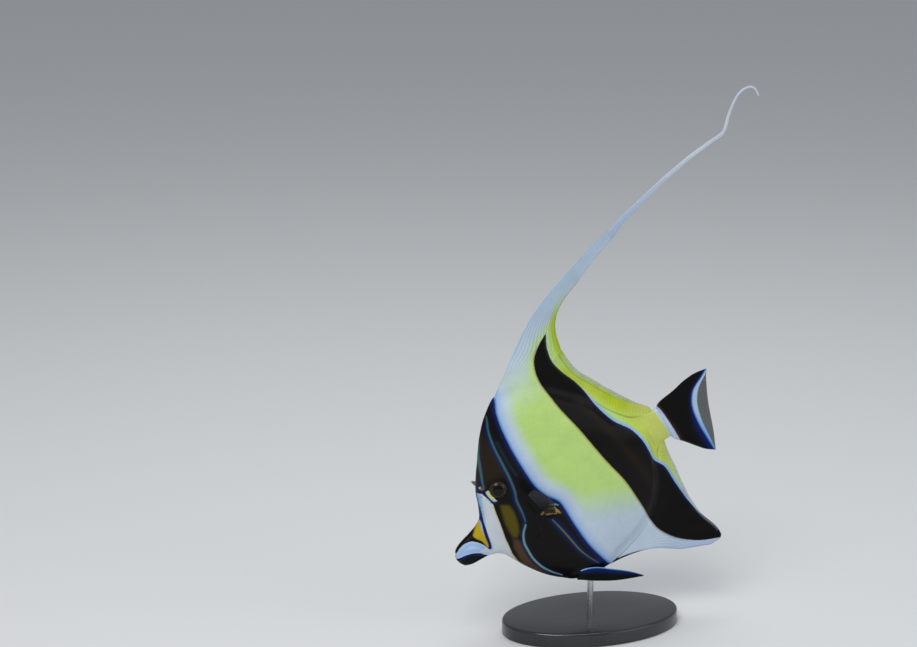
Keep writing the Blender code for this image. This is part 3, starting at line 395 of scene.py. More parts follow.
# Markings, the same on skin and fins
def markings(f, u):
    """Fields over the side view: light colours, dark colours, and how deep in the dark."""
    bar1_line, front, rear = traced(BAR1_REAR), traced(BAR2_FRONT), traced(BAR2_REAR)
    bar1 = away(f, u, bar1_line) * np.where(f > place_on(bar1_line, u), 1.0, -1.0)
    bar2 = within(f, u, np.vstack([front, rear[::-1][:-1]]))
    rear_at = place_on(rear, u)
    behind = away(f, u, rear) * np.where(f < rear_at, 1.0, -1.0)
    is_behind = (behind > 0) & (u < BAR2_TOP)

    head = f > HEAD_START
    fh, uh = f[head], u[head]
    zone = np.full(fh.shape, -1e9)
    shade = np.tile(np.array(SNOUT), (len(fh), 1))
    lip = closed(fh, uh, UPPER_LIP)
    for depth, colour in ((within(fh, uh, np.array(SNOUT_WHITE)), SNOUT), (lip, WHITE),
                          (closed(fh, uh, UNDER_EYE), EYE_FLASH),
                          (closed(fh, uh, SADDLE), SADDLE_YELLOW)):
        shade[depth > zone] = colour
        zone = np.maximum(zone, depth)
    off_eye = np.hypot(fh - EYE_AT[0], uh - EYE_AT[1])
    front_line = off_line(fh, uh, WHITE_FRONT)
    back_line = off_line(fh, uh, WHITE_BACK)
    shade = layered(
        shade,
        (SNOUT_BLUE, hump(front_line - 0.6, 0.8) * (fh < 118.6) * 0.9),
        (SNOUT_GOLD, hump(back_line, 0.55) * 0.8),
        (LIP_BLUE, hump(lip - 1.6, 1.6) * (lip > 0) * (uh > -4) * 0.75),
        (FLASH_TEAL, smooth(off_eye, 5.6, 6.9) * (fh < 107) * (uh > 18)))
    light_zone = np.full(f.shape, -1e9)
    light_zone[head] = zone
    bar1 = np.minimum(bar1, -light_zone)

    level = 0.883 * u - 0.469 * f
    sunny = smooth(-bar1, 4.0, 13.0) * smooth(level, -55.0, -27.0) * (1 - smooth(u, 50.0, 86.0))
    crown = hump(off_line(f, u, CROWN_LINE), 3.4) * (u > 60)
    golden = smooth(u, -36.0, -18.0) * np.where(is_behind, smooth(behind, 0.4, 1.4), 0.0)
    golden = golden * (1 - smooth(u, 84.0, BAR2_TOP))
    greener = hump(behind - 3.2, 3.4) * golden * smooth(u, 6.0, 20.0)
    stalk = smooth(-f, -19.0, -1.0) * (np.abs(u) < 30) * is_behind * golden
    # painted shade: a darker olive line along the back and belly edges near the stalk, where the
    # dorsal and anal fins meet the body
    fin_foot_shade = hump(u - back_at(f) + 0.5, 0.6) * smooth(f, 3.0, 12.0) * (1 - smooth(f, 26.0, 31.0))
    fin_foot_shade += hump(u - belly_at(f) - 0.3, 0.6) * smooth(f, 3.0, 6.0) * (1 - smooth(f, 9.0, 11.0))
    stalk_end = smooth(place_on(traced(STALK_WHITE, 40), u) - f, -0.4, 0.9) * (np.abs(u) < 14)
    rim = np.where(is_behind, hump(behind - 0.7, 0.75), 0.0) * (1 - smooth(u, 30.0, 52.0))
    rusty = hump(away(f, u, front[:62]) - 0.2, 0.6) * smooth(f - rear_at, 4.0, 8.0)
    near = np.where(f < NECK_END, np.maximum(-bar1, 0.0), 99.0)
    light = layered(
        LAVENDER,
        (WHITE, smooth(-bar1, 0.5, 7.0)),
        (LIME, sunny * 0.95),
        (LIME, crown * 0.7),
        (YELLOW, golden),
        (PALE_LIME, greener * 0.65),
        (STALK_GOLD, stalk * 0.9),
        # painted shade along the feet of the fins
        (FOOT_SHADE_OLIVE, fin_foot_shade * 0.6 * (behind > 0)),
        (WHITE, stalk_end),
        (SKY, np.clip(rim * 1.2, 0, 1)),
        (RUST, rusty * 0.7),
        (SKY, hump(near, 2.8) * 0.6),
        (BAR_BLUE, hump(near, 1.0) * 0.9))
    light[head] = np.where((zone > -1.2)[:, None], shade, light[head])

    brow = smooth(f, 88.0, 93.0) * smooth(u, 25.0, 34.0)
    dark = blend(np.tile(np.array(BLACK), (len(f), 1)), BROWN, brow * 0.8)
    shade = dark[head]
    for points, colour, low, high in ((CHEEK, OLIVE, -0.5, 2.2), (LOWER_CHEEK, UMBER, -0.9, 1.6),
                                      (SADDLE, SADDLE_YELLOW, -1.0, 0.2)):
        shade = blend(shade, colour, smooth(closed(fh, uh, points, 60), low, high))
    flank = smooth(off_edge(fh, back_at(fh) - uh, back_at), 0.1, 1.3)
    for points, widths, colour, strength in (
            (EYE_LINE, (0.2, 0.5, 0.55, 0.6, 0.6, 0.55, 0.3), TEAL, 0.75),
            (GILL_LINE, (0.4, 0.55, 0.5, 0.5, 0.3), PALE_TEAL, 0.95),
            (BROW_LINE, (0.2, 0.35, 0.45, 0.4), TEAL, 0.85)):
        ahead = np.where(fh > place_on(traced(points), uh), 0.75, 0.15)
        deep = stroke(fh, uh, points, widths)
        shade = layered(shade, (DEEP_BLUE, hump(deep + 0.55, 0.8) * ahead * flank),
                        (colour, smooth(deep, -0.35, 0.25) * strength))
    dark[head] = layered(
        shade,
        (DEEP_BLUE, hump(off_line(fh, uh, HOOK), 0.5)),
        (NAVY, hump(front_line - 0.2, 0.8) * (fh > 110.5)),
        (DEEP_BLUE, hump(lip + 0.5, 0.7) * (uh < -1.0) * (fh > 121.5)))
    breast = stroke(f, u, BREAST_LINE, (0.2, 0.4, 0.4, 0.3, 0.1))
    rear_edge = hump(np.maximum(-behind, 0), 1.0) * (bar2 > 0) * 0.9
    high_up = smooth(u, 40.0, 62.0)
    axil = stroke(f, u, PECTORAL_LINE, (0.1, 0.5, 0.2))
    arc = smooth(stroke(f, u, PECTORAL_ARC, (0.3, 1.0, 1.2, 0.5)), -0.25, 0.4)
    spines = stroke(f, u, BELLY_LINE, (0.8, 1.3, 1.3, 1.1, 0.5))
    dark = layered(
        dark,
        (DEEP_BLUE, hump(breast + 0.8, 1.0) * 0.5),
        (BREAST_GREEN, smooth(breast, -0.35, 0.25) * 0.85),
        (FAINT_TEAL, hump(off_line(f, u, FAINT_LINE), 0.8) * 0.5),
        (DEEP_BLUE, hump(np.maximum(bar1, 0), 1.5) * (f < NECK_END) * (bar1 > 0)),
        (DEEP_BLUE, rear_edge * (1 - high_up)),
        (DARK_GREEN, rear_edge * high_up),
        (BROWN, hump(away(f, u, np.array(STREAK_LINE)), 3.0) * 0.35),
        (AXIL_TEAL, smooth(axil, -0.3, 0.2)),
        (ARC_GOLD, arc),
        (BLACK, smooth(spines, -0.4, 0.0)))
    return {"light": blend(light, ARC_GOLD, arc), "dark": dark,
            "bars": np.maximum(np.maximum(bar1, bar2), spines)}


# Shader helpers
def node(tree, kind, inputs=(), **settings):
    """A shader node, its inputs given as sockets to link or as values."""
    made = tree.nodes.new(kind)
    for key, value in settings.items():
        setattr(made, key, value)
    for key, value in dict(inputs).items():
        if isinstance(value, bpy.types.NodeSocket):
            tree.links.new(value, made.inputs[key])
        else:
            made.inputs[key].default_value = value
    return made


def maths(tree, operation, a, b=0.0, c=0.0):
    return node(tree, "ShaderNodeMath", {0: a, 1: b, 2: c}, operation=operation).outputs[0]


def attribute(tree, name, output="Fac"):
    return node(tree, "ShaderNodeAttribute", attribute_name=name).outputs[output]


def mapped(tree, value, low, high, out_low=0.0, out_high=1.0, kind="SMOOTHSTEP"):
    return node(tree, "ShaderNodeMapRange", {0: value, 1: low, 2: high, 3: out_low, 4: out_high},
                interpolation_type=kind).outputs[0]


def mixed(tree, factor, a, b, blend_type="MIX"):
    made = node(tree, "ShaderNodeMix", {0: factor, 6: a, 7: b}, data_type="RGBA",
                blend_type=blend_type)
    return made.outputs[2]


def noise(tree, scale, detail, rough, place):
    inputs = {"Scale": scale, "Detail": detail, "Roughness": rough, "Vector": place}
    return node(tree, "ShaderNodeTexNoise", inputs).outputs["Fac"]


def new_paint(name, roughness=0.4, **constants):
    """A material with its tree and its Principled shader."""
    paint = bpy.data.materials.new(name)
    paint.use_nodes = True
    tree = paint.node_tree
    shader = tree.nodes["Principled BSDF"]
    shader.inputs["Roughness"].default_value = roughness
    for key, value in constants.items():
        shader.inputs[key.replace("_", " ")].default_value = value
    return paint, tree, shader


def shaded(tree, colour, value):
    """A colour times a value."""
    value = node(tree, "ShaderNodeCombineColor", {0: value, 1: value, 2: value}).outputs[0]
    return mixed(tree, 1.0, colour, value, "MULTIPLY")


def object_place(tree):
    return node(tree, "ShaderNodeTexCoord").outputs["Object"]


def feed(tree, shader, **sockets):
    """Link sockets to the shader's inputs, their names with _ for a space."""
    for key, socket in sockets.items():
        tree.links.new(socket, shader.inputs[key.replace("_", " ")])


def bumpy(tree, shader, height, strength, distance):
    """Give a shader fine relief, its distance in metres."""
    inputs = {"Strength": strength, "Distance": distance, "Height": height}
    feed(tree, shader, Normal=node(tree, "ShaderNodeBump", inputs).outputs[0])


def fish_colour(tree, place):
    """The colour of skin or fin from its fields, with an uneven edge to the markings."""
    ragged = mapped(tree, noise(tree, 900.0, 3.0, 0.6, place), 0.3, 0.7, -0.09, 0.09, "LINEAR")
    deep = maths(tree, "ADD", attribute(tree, "bars"), ragged)
    mask = mapped(tree, deep, -0.2, 0.2)
    colour = mixed(tree, mask, attribute(tree, "light", "Color"), attribute(tree, "dark", "Color"))
    cloudy = mapped(tree, noise(tree, 60.0, 4.0, 0.55, place), 0.25, 0.75, 0.90, 1.06, "LINEAR")
    return shaded(tree, colour, cloudy), mask


def skin_paint():
    paint, tree, shader = new_paint("fish_skin", Coat_Weight=0.09, Coat_Roughness=0.12,
                                    Specular_IOR_Level=0.08)
    place = object_place(tree)
    colour, mask = fish_colour(tree, place)
    scales = node(tree, "ShaderNodeTexVoronoi", {"Vector": place, "Scale": 1500.0,
                                                 "Randomness": 0.75}).outputs["Distance"]
    fine = mapped(tree, scales, 0.0, 0.75, 1.0, 0.0, "LINEAR")
    grain = mapped(tree, fine, 0.1, 0.9, 0.93, 1.03, "LINEAR")
    patchy = mapped(tree, noise(tree, 220.0, 3.0, 0.6, place), 0.3, 0.7, 0.34, 0.48, "LINEAR")
    feed(tree, shader, Base_Color=shaded(tree, colour, grain),
         Roughness=maths(tree, "SUBTRACT", patchy, maths(tree, "MULTIPLY", mask, 0.05)))
    soft = noise(tree, 380.0, 2.0, 0.5, place)
    relief = maths(tree, "ADD", maths(tree, "MULTIPLY", fine, 0.35), soft)
    bumpy(tree, shader, relief, 0.30, 0.00012)
    return paint


def fin_paint(name="fish_fin"):
    """Fins: the skin's colours, with streaks between rays and a clearer margin."""
    paint, tree, shader = new_paint(name, 0.42, Coat_Weight=0.05, Coat_Roughness=0.2,
                                    Specular_IOR_Level=0.07)
    place = object_place(tree)
    colour = fish_colour(tree, place)[0]
    ray = attribute(tree, "ray")
    feed(tree, shader, Base_Color=shaded(tree, colour, attribute(tree, "tone")))
    along = node(tree, "ShaderNodeCombineXYZ", {0: attribute(tree, "along")}).outputs[0]
    joints = node(tree, "ShaderNodeTexWave", {"Vector": along, "Scale": 0.55, "Distortion": 0.0},
                  wave_profile="SIN").outputs["Fac"]
    relief = maths(tree, "MULTIPLY", maths(tree, "MULTIPLY", joints, ray), 0.6)
    relief = maths(tree, "ADD", relief, noise(tree, 700.0, 2.0, 0.5, place))
    bumpy(tree, shader, relief, 0.25, 0.0001)
    between = maths(tree, "SUBTRACT", 1.0, maths(tree, "MULTIPLY", ray, 0.35))
    clear = maths(tree, "MULTIPLY", attribute(tree, "clear"), between)
    feed(tree, shader, Alpha=maths(tree, "SUBTRACT", 1.0, clear))
    return paint


def eye_paint():
    paint, tree, shader = new_paint("eye_glass", 0.12, Coat_Weight=0.2, Coat_Roughness=0.03,
                                    Specular_IOR_Level=0.12)
    radius = attribute(tree, "radius")
    place = object_place(tree)
    flecks = noise(tree, 2600.0, 4.0, 0.65, place)
    gold = mixed(tree, mapped(tree, flecks, 0.4, 0.65), (0.016, 0.009, 0.004, 1.0),
                 (0.075, 0.042, 0.014, 1.0))
    iris = mixed(tree, mapped(tree, radius, 3.45, 3.9), gold, (0.012, 0.009, 0.008, 1.0))
    inner = mapped(tree, radius, 3.15, 3.3)
    colour = mixed(tree, inner, (0.001, 0.001, 0.0014, 1.0), iris)
    rim = maths(tree, "MULTIPLY", mapped(tree, radius, 4.25, 4.4), 0.8)
    colour = mixed(tree, rim, colour, (0.065, 0.040, 0.020, 1.0))
    feed(tree, shader, Base_Color=colour)
    return paint


def horn_paint():
    paint, tree, shader = new_paint("horn_brown", 0.4, Coat_Weight=0.15)
    place = object_place(tree)
    streak = noise(tree, 1400.0, 4.0, 0.6, place)
    colour = mixed(tree, mapped(tree, streak, 0.35, 0.7), (0.035, 0.024, 0.015, 1.0),
                   (0.20, 0.17, 0.13, 1.0))
    tip = mapped(tree, attribute(tree, "along"), 0.45, 1.0)
    feed(tree, shader, Base_Color=mixed(tree, tip, colour, (0.50, 0.47, 0.42, 1.0)))
    bumpy(tree, shader, streak, 0.3, 0.0001)
    return paint


def lacquer_paint():
    paint, tree, shader = new_paint("base_lacquer", 0.3, Coat_Weight=0.4, Coat_Roughness=0.12)
    place = object_place(tree)
    cloud = noise(tree, 35.0, 4.0, 0.6, place)
    dust = mapped(tree, noise(tree, 2400.0, 2.0, 0.7, place), 0.66, 0.78)
    colour = mixed(tree, mapped(tree, cloud, 0.3, 0.7), (0.012, 0.012, 0.013, 1.0),
                   (0.020, 0.020, 0.022, 1.0))
    colour = mixed(tree, maths(tree, "MULTIPLY", dust, 0.35), colour, (0.16, 0.16, 0.16, 1.0))
    feed(tree, shader, Base_Color=colour,
         Roughness=mapped(tree, cloud, 0.25, 0.75, 0.24, 0.38, "LINEAR"))
    bumpy(tree, shader, noise(tree, 420.0, 2.0, 0.5, place), 0.08, 0.0002)
    return paint


def steel_paint():
    paint, tree, shader = new_paint("rod_steel", 0.3, Metallic=1.0)
    place = object_place(tree)
    stretched = node(tree, "ShaderNodeMapping", {0: place, "Scale": (300.0, 300.0, 9000.0)})
    lines = noise(tree, 1.0, 3.0, 0.6, stretched.outputs[0])
    colour = mixed(tree, mapped(tree, lines, 0.3, 0.7), (0.46, 0.46, 0.47, 1.0),
                   (0.66, 0.66, 0.66, 1.0))
    feed(tree, shader, Base_Color=colour,
         Roughness=mapped(tree, lines, 0.3, 0.7, 0.24, 0.40, "LINEAR"))
    bumpy(tree, shader, lines, 0.2, 0.00005)
    return paint


# Mesh helpers
def volume(points, faces):
    total = 0.0
    for count in (3, 4):
        part = np.array([face for face in faces if len(face) == count], int)
        for j in range(1, count - 1):
            if len(part):
                a, b, c = points[part[:, 0]], points[part[:, j]], points[part[:, j + 1]]
                total += float(np.einsum("ij,ij->i", a, np.cross(b, c)).sum())
    return total


def piece(name, points, faces, paint, fields=(), chart=None, place=PLACE, replaces=None):
    """One piece of the model from points in millimetres, closed and facing outwards.

    It replaces the node of its own name, where no others are named.
    """
    points = np.asarray(points, float)
    if volume(points, faces) < 0:
        faces = [tuple(reversed(face)) for face in faces]
    points = points * MM @ np.array(place.to_3x3()).T + np.array(place.translation)
    me = bpy.data.meshes.new(name)
    me.from_pydata(points.tolist(), [], faces)
    me.shade_smooth()
    for key, value in dict(fields).items():
        value = np.asarray(value, np.float32)
        flat = value.ndim == 1
        layer = me.attributes.new(key, "FLOAT" if flat else "FLOAT_VECTOR", "POINT")
        layer.data.foreach_set("value" if flat else "vector", value.ravel())
    if chart is not None:
        corner = np.empty(len(me.loops), np.int32)
        me.loops.foreach_get("vertex_index", corner)
        layer = me.uv_layers.new(name="OFBake")
        layer.uv.foreach_set("vector", np.asarray(chart, np.float32)[corner].ravel())
    me.materials.append(paint)
    ob = bpy.data.objects.new(name, me)
    bpy.context.scene.collection.objects.link(ob)
    replaces = replaces or (name,)
    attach(ob, "root")
    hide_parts(*replaces)
    return ob


def grid_faces(rows, columns, wrap=False):
    """Quads of a grid of points, row by row."""
    i, j = np.meshgrid(np.arange(rows - 1), np.arange(columns if wrap else columns - 1),
                       indexing="ij")
    k = (j + 1) % columns
    quads = np.stack([i * columns + j, i * columns + k, (i + 1) * columns + k,
                      (i + 1) * columns + j], axis=-1)
    return quads.reshape(-1, 4)


def capped(points, rows, ring):
    """Points and faces of a closed form from rings of points, with its two ends filled."""
    faces = grid_faces(rows, ring, wrap=True).tolist()
    first, last, shift = len(points), len(points) + 1, (rows - 1) * ring
    faces += [((k + 1) % ring, k, first) for k in range(ring)]
    faces += [(shift + k, shift + (k + 1) % ring, last) for k in range(ring)]
    return np.vstack([points, points[:ring].mean(0), points[-ring:].mean(0)]), faces


def blade(middle, normal, half, quads):
    """Points and faces of a thin closed blade about a net of middle points."""
    offset = np.broadcast_to(normal, middle.shape).reshape(-1, 3) * half.reshape(-1, 1)
    middle = middle.reshape(-1, 3)
    points = np.vstack([middle + offset, middle - offset])
    other = len(middle)
    pairs = np.concatenate([quads[:, [k, (k + 1) % 4]] for k in range(4)])
    key = pairs[:, 0].astype(np.int64) * other + pairs[:, 1]
    back = pairs[:, 1].astype(np.int64) * other + pairs[:, 0]
    open_pairs = pairs[~np.isin(key, back)]
    rim = np.column_stack([open_pairs[:, 1], open_pairs[:, 0], other + open_pairs[:, 0],
                           other + open_pairs[:, 1]])
    faces = np.vstack([quads, other + quads[:, ::-1], rim])
    return points, faces.tolist()


MAP_SPAN = 0.48
MAP_EDGE = 0.01
OUTSIDE = -9.0  # how deep in the dark bars a piece without them is


def side_map(points):
    """A flat map of one face of a thin piece, from its side view."""
    flat = points.reshape(-1, 3)[:, [0, 2]]
    low, high = flat.min(0), flat.max(0)
    return (flat - low) / (high - low).max() * MAP_SPAN + MAP_EDGE


def paired_map(run, across):
    """A flat map of one face of a paired fin, from the shares along and across it."""
    return np.column_stack([run.ravel() * MAP_SPAN + MAP_EDGE, across.ravel() * 0.9 + 0.05])


def fin(name, middle, half, fields, paint, normal=None, quads=None, chart=None,
        replaces=None):
    """A thin fin about a net of middle points, with the same fields on its two faces.

    It has no dark bars and is not clear, where its fields do not say so.
    """
    normal = blade_normals(middle) if normal is None else normal
    quads = grid_faces(*middle.shape[:2]) if quads is None else quads
    points, faces = blade(middle, normal, half, quads)
    twice = {"bars": np.full(len(points), OUTSIDE), "clear": np.zeros(len(points))}
    for key, value in fields.items():
        value = value if value.shape[-1] == 3 else value.ravel()
        twice[key] = np.concatenate([value, value])
    chart = side_map(middle) if chart is None else chart
    piece(name, points, faces, paint, twice, np.vstack([chart, chart + (0.5, 0.0)]),
          replaces=replaces)


def shares(rays, finer, columns):
    """Shares across and along a fin's net, then the rays' phase and the run along them."""
    rows = rays * finer + 1
    s = np.linspace(0, 1, rows)[:, None, None]
    t = np.linspace(0, 1, columns)[None, :, None]
    phase = np.broadcast_to(s[..., 0] * rays, (rows, columns))
    run = np.broadcast_to(t[..., 0], (rows, columns))
    return s, t, phase, run


def bow(way, t):
    """How far a path strays from the straight line between its ends."""
    t = t[..., None]
    return way(t[..., 0]) - ((1 - t) * way(0.0) + t * way(1.0))


def ridge(phase, along, branch=0.55):
    """Height of a fin's rays, 0 to 1: each ray forks in two past a share of its length."""
    single = (0.5 + 0.5 * np.cos(2 * pi * phase)) ** 2.2
    double = (0.5 + 0.5 * np.cos(4 * pi * phase)) ** 2.2
    fork = smooth(along, branch - 0.1, branch + 0.12)
    return single * (1 - fork) + double * fork * 0.9


def streaked(ray, share_on, streaks):
    """Darkening between rays, which grows along them."""
    return 1.0 - streaks * (1 - ray) * smooth(share_on, 0.02, 0.35)


def rooted(half, depth):
    """Half thickness of a fin: as thick as the body's edge at its foot, then half."""
    root = 1 - smooth(depth, 0.6, 9.0)
    return half + (ROOT_HALF - half) * root


def unit(v):
    return v / np.maximum(np.linalg.norm(v, axis=-1, keepdims=True), 1e-9)


def blade_normals(net):
    n = np.cross(np.gradient(net, axis=0), np.gradient(net, axis=1))
    return unit(n)


# Skin
def stations():
    """Places along the fish of the skin's sections, closest where there is most to show."""
    fine = np.linspace(BACK[0][0], BACK[-1][0], 4000)
    step = np.interp(fine, *np.array(SKIN_STEPS).T)
    run = np.concatenate([[0.0], np.cumsum(0.5 * (1 / step[1:] + 1 / step[:-1]) * np.diff(fine))])
    return np.interp(np.linspace(0.0, run[-1], int(run[-1])), run, fine)


def relief(f, u):
    """How far the skin stands out from its smooth form."""
    out = 0.04 * np.sin(f / 7.3 + 1.2) * np.sin(u / 8.1) + 0.04 * np.sin((f + u) / 5.2)
    top, foot = back_at(f), belly_at(f)
    scallop = 0.5 + 0.5 * np.cos(2 * pi * f / 1.85)
    out += 0.05 * scallop * hump(top - u - 1.8, 1.5) * smooth(75 - f, 0, 6) * smooth(f, 2, 8)
    out += 0.05 * scallop * hump(u - foot - 1.8, 1.5) * smooth(59 - f, 0, 6) * smooth(f, 6, 12)
    out -= 0.04 * hump(off_line(f, u, SIDE_LINE, 40), 0.32)
    df, du = f - PECTORAL_AT[0], u - PECTORAL_AT[1]
    a = df * PECTORAL_AXIS[0] + du * PECTORAL_AXIS[2]
    b = df * PECTORAL_AXIS[2] - du * PECTORAL_AXIS[0]
    out += 1.25 * np.exp(-((a / 4.7) ** 2 + (b / 2.3) ** 2) ** 1.4)
    df, du = f - PELVIC_AT[0], u - PELVIC_AT[1]
    out += 0.9 * np.exp(-((df / 4.6) ** 2 + (du / 2.6) ** 2) ** 1.4)

    head = f > HEAD_START
    f, u = f[head], u[head]
    more = np.zeros(f.shape)
    r = np.hypot(f - EYE_AT[0], u - EYE_AT[1])
    more += 0.24 * hump(r - 5.7, 0.6) - 0.28 * hump(r - 4.75, 0.35)
    more -= 1.1 * (1 - smooth(r, 3.0, 4.5)) + 0.18 * hump(r - 7.6, 1.3)
    cover = closed(f, u, COVER, 80)
    lip = 1 - smooth(f, 92.0, 98.5)
    more += 0.36 * smooth(cover, -0.05, 0.5) * (1 - smooth(f, 89.0, 99.0))
    more -= 0.42 * hump(cover + 0.3, 0.32) * lip
    for line, deep in ((GILL_LINE, 0.14), (EYE_LINE, 0.08), (HOOK, 0.06)):
        more -= deep * hump(off_line(f, u, line, 40), 0.5)
    more += 0.25 * hump(np.hypot(f - 95.0, (u + 20.0) / 2.4), 5.5)
    more -= 0.30 * hump(np.hypot(f - 107.0, (u - 7.0) / 1.8), 4.0)
    for nf, nu, size in NOSTRILS:
        r = np.hypot(f - nf, u - nu) / size
        more += 0.15 * hump(r - 1.35, 0.4) - 0.6 * np.exp(-r ** 4)
    d = off_line(f, u, MOUTH, 40)
    more -= 0.75 * hump(d, 0.27) * smooth(f, 121.0, 123.5)
    more += 0.34 * hump(d - 0.95, 0.55) * smooth(f, 130.0, 133.0)
    out[head] += more
    return out


def skin_map(f, left):
    """A flat map of the skin, its left side below and its right side above."""
    girth = np.cumsum(np.linalg.norm(np.diff(left, axis=1), axis=2), axis=1)
    girth = np.hstack([np.zeros((len(f), 1)), girth]) - 0.5 * girth[:, -1:]
    y = (girth - girth.min()) / (girth.max() - girth.min()) * 0.47 + 0.01
    x = np.broadcast_to(((f - f[0]) / (f[-1] - f[0]))[:, None] * 0.98 + 0.01, y.shape)
    chart = np.concatenate([np.stack([x, y], -1), np.stack([x, y + 0.5], -1)[:, ::-1]], axis=1)
    return np.vstack([chart.reshape(-1, 2), [[0.004, 0.25], [0.996, 0.25]]])


def skin():
    """Head, jaws, gill covers, trunk and stalk, as rings of points from tail to snout."""
    f = stations()
    line = np.linspace(-1.0, 1.0, HALF_RING)
    v = 0.5 * line + 0.5 * np.sin(pi / 2 * line)
    v = np.concatenate([v, v[::-1]])
    side = np.repeat([1.0, -1.0], HALF_RING)
    top, foot = back_at(f)[:, None], belly_at(f)[:, None]
    past = np.clip((f - SNOUT_CLOSES) / SNOUT_ROUND, 0.0, 0.995)
    closing = np.sqrt(1 - past ** 2)[:, None]
    u = 0.5 * (top + foot) + 0.5 * (top - foot) * v * closing
    grid_f = np.broadcast_to(f[:, None], u.shape)
    half = half_width(grid_f, u) * closing
    # back and belly run softly into the fins that stand on them
    off_back = off_edge(grid_f, top - u, back_at)
    off_belly = off_edge(grid_f, u - foot, belly_at)
    for edge, off, reach in ((back_edge_at(f)[:, None], off_back, smooth(76.0 - f, 0.0, 4.0)),
                             (belly_edge_at(f)[:, None], off_belly, smooth(61.0 - f, 0.0, 4.0))):
        reach = (reach * smooth(f, 0.0, 6.0))[:, None]
        soft = smooth(off, -1.5, 8.0)
        half = half - (half - edge) * (1 - soft) * reach * (half > edge)
    # forehead, nape, throat and jaws close round, where no fin stands on them
    for edge, gap, bare in ((back_edge_at(f)[:, None], top - u, smooth(f, 73.5, 80.0)[:, None]),
                            (belly_edge_at(f)[:, None], u - foot, smooth(f, 59.0, 65.0)[:, None])):
        k = np.clip(gap / np.maximum(edge * 2.2 * bare, 1e-6), 0.0, 1.0)
        half = half * np.maximum(np.sqrt(1 - (1 - k) ** 2), 0.02)
    net = np.stack([grid_f, side * half, u], axis=-1)
    along = np.gradient(net, axis=0)
    across = np.roll(net, -1, axis=1) - np.roll(net, 1, axis=1)
    n = unit(np.cross(along, across))
    outward = np.sign(n[:, :HALF_RING, 1].mean())
    lift = relief(grid_f.ravel(), u.ravel()).reshape(u.shape)
    lift = lift * smooth(half, 0.0, 1.2)
    net = net + n * (outward * lift)[..., None]
    fields = markings(grid_f.ravel().copy(), u.ravel())
    net[..., 1] += bend(grid_f)
    rows, ring = u.shape
    points, faces = capped(net.reshape(-1, 3), rows, ring)
    for key in fields:
        value = fields[key].reshape(rows, ring, -1).squeeze()
        ends = np.array([value[0].mean(axis=0), value[-1].mean(axis=0)])
        fields[key] = np.concatenate([fields[key], ends])
    piece("fish_skin", points, faces, skin_paint(), fields,
          skin_map(f, net[:, :HALF_RING]),
          replaces=("head", "upper_jaw", "lower_jaw", "gill_cover_left", "gill_cover_right",
                    "torso", "tail_stalk"))


# Fins in the middle plane
FIN = fin_paint()
SINK = 0.9
ROOT_HALF = 1.02
RIM_HALF = 0.07
SIDEWAYS = np.array((0.0, 1.0, 0.0))


def base_line(ends, edge_at, sign, steps=60):
    """The foot of a fin, a little inside the flesh."""
    f = np.linspace(ends[0], ends[1], steps)
    return list(zip(f, edge_at(f) - sign * SINK))


def margin_taper(half, rim):
    """A fin thins out to its free edge."""
    return RIM_HALF + (half - RIM_HALF) * smooth(rim, 0.0, 1.4)


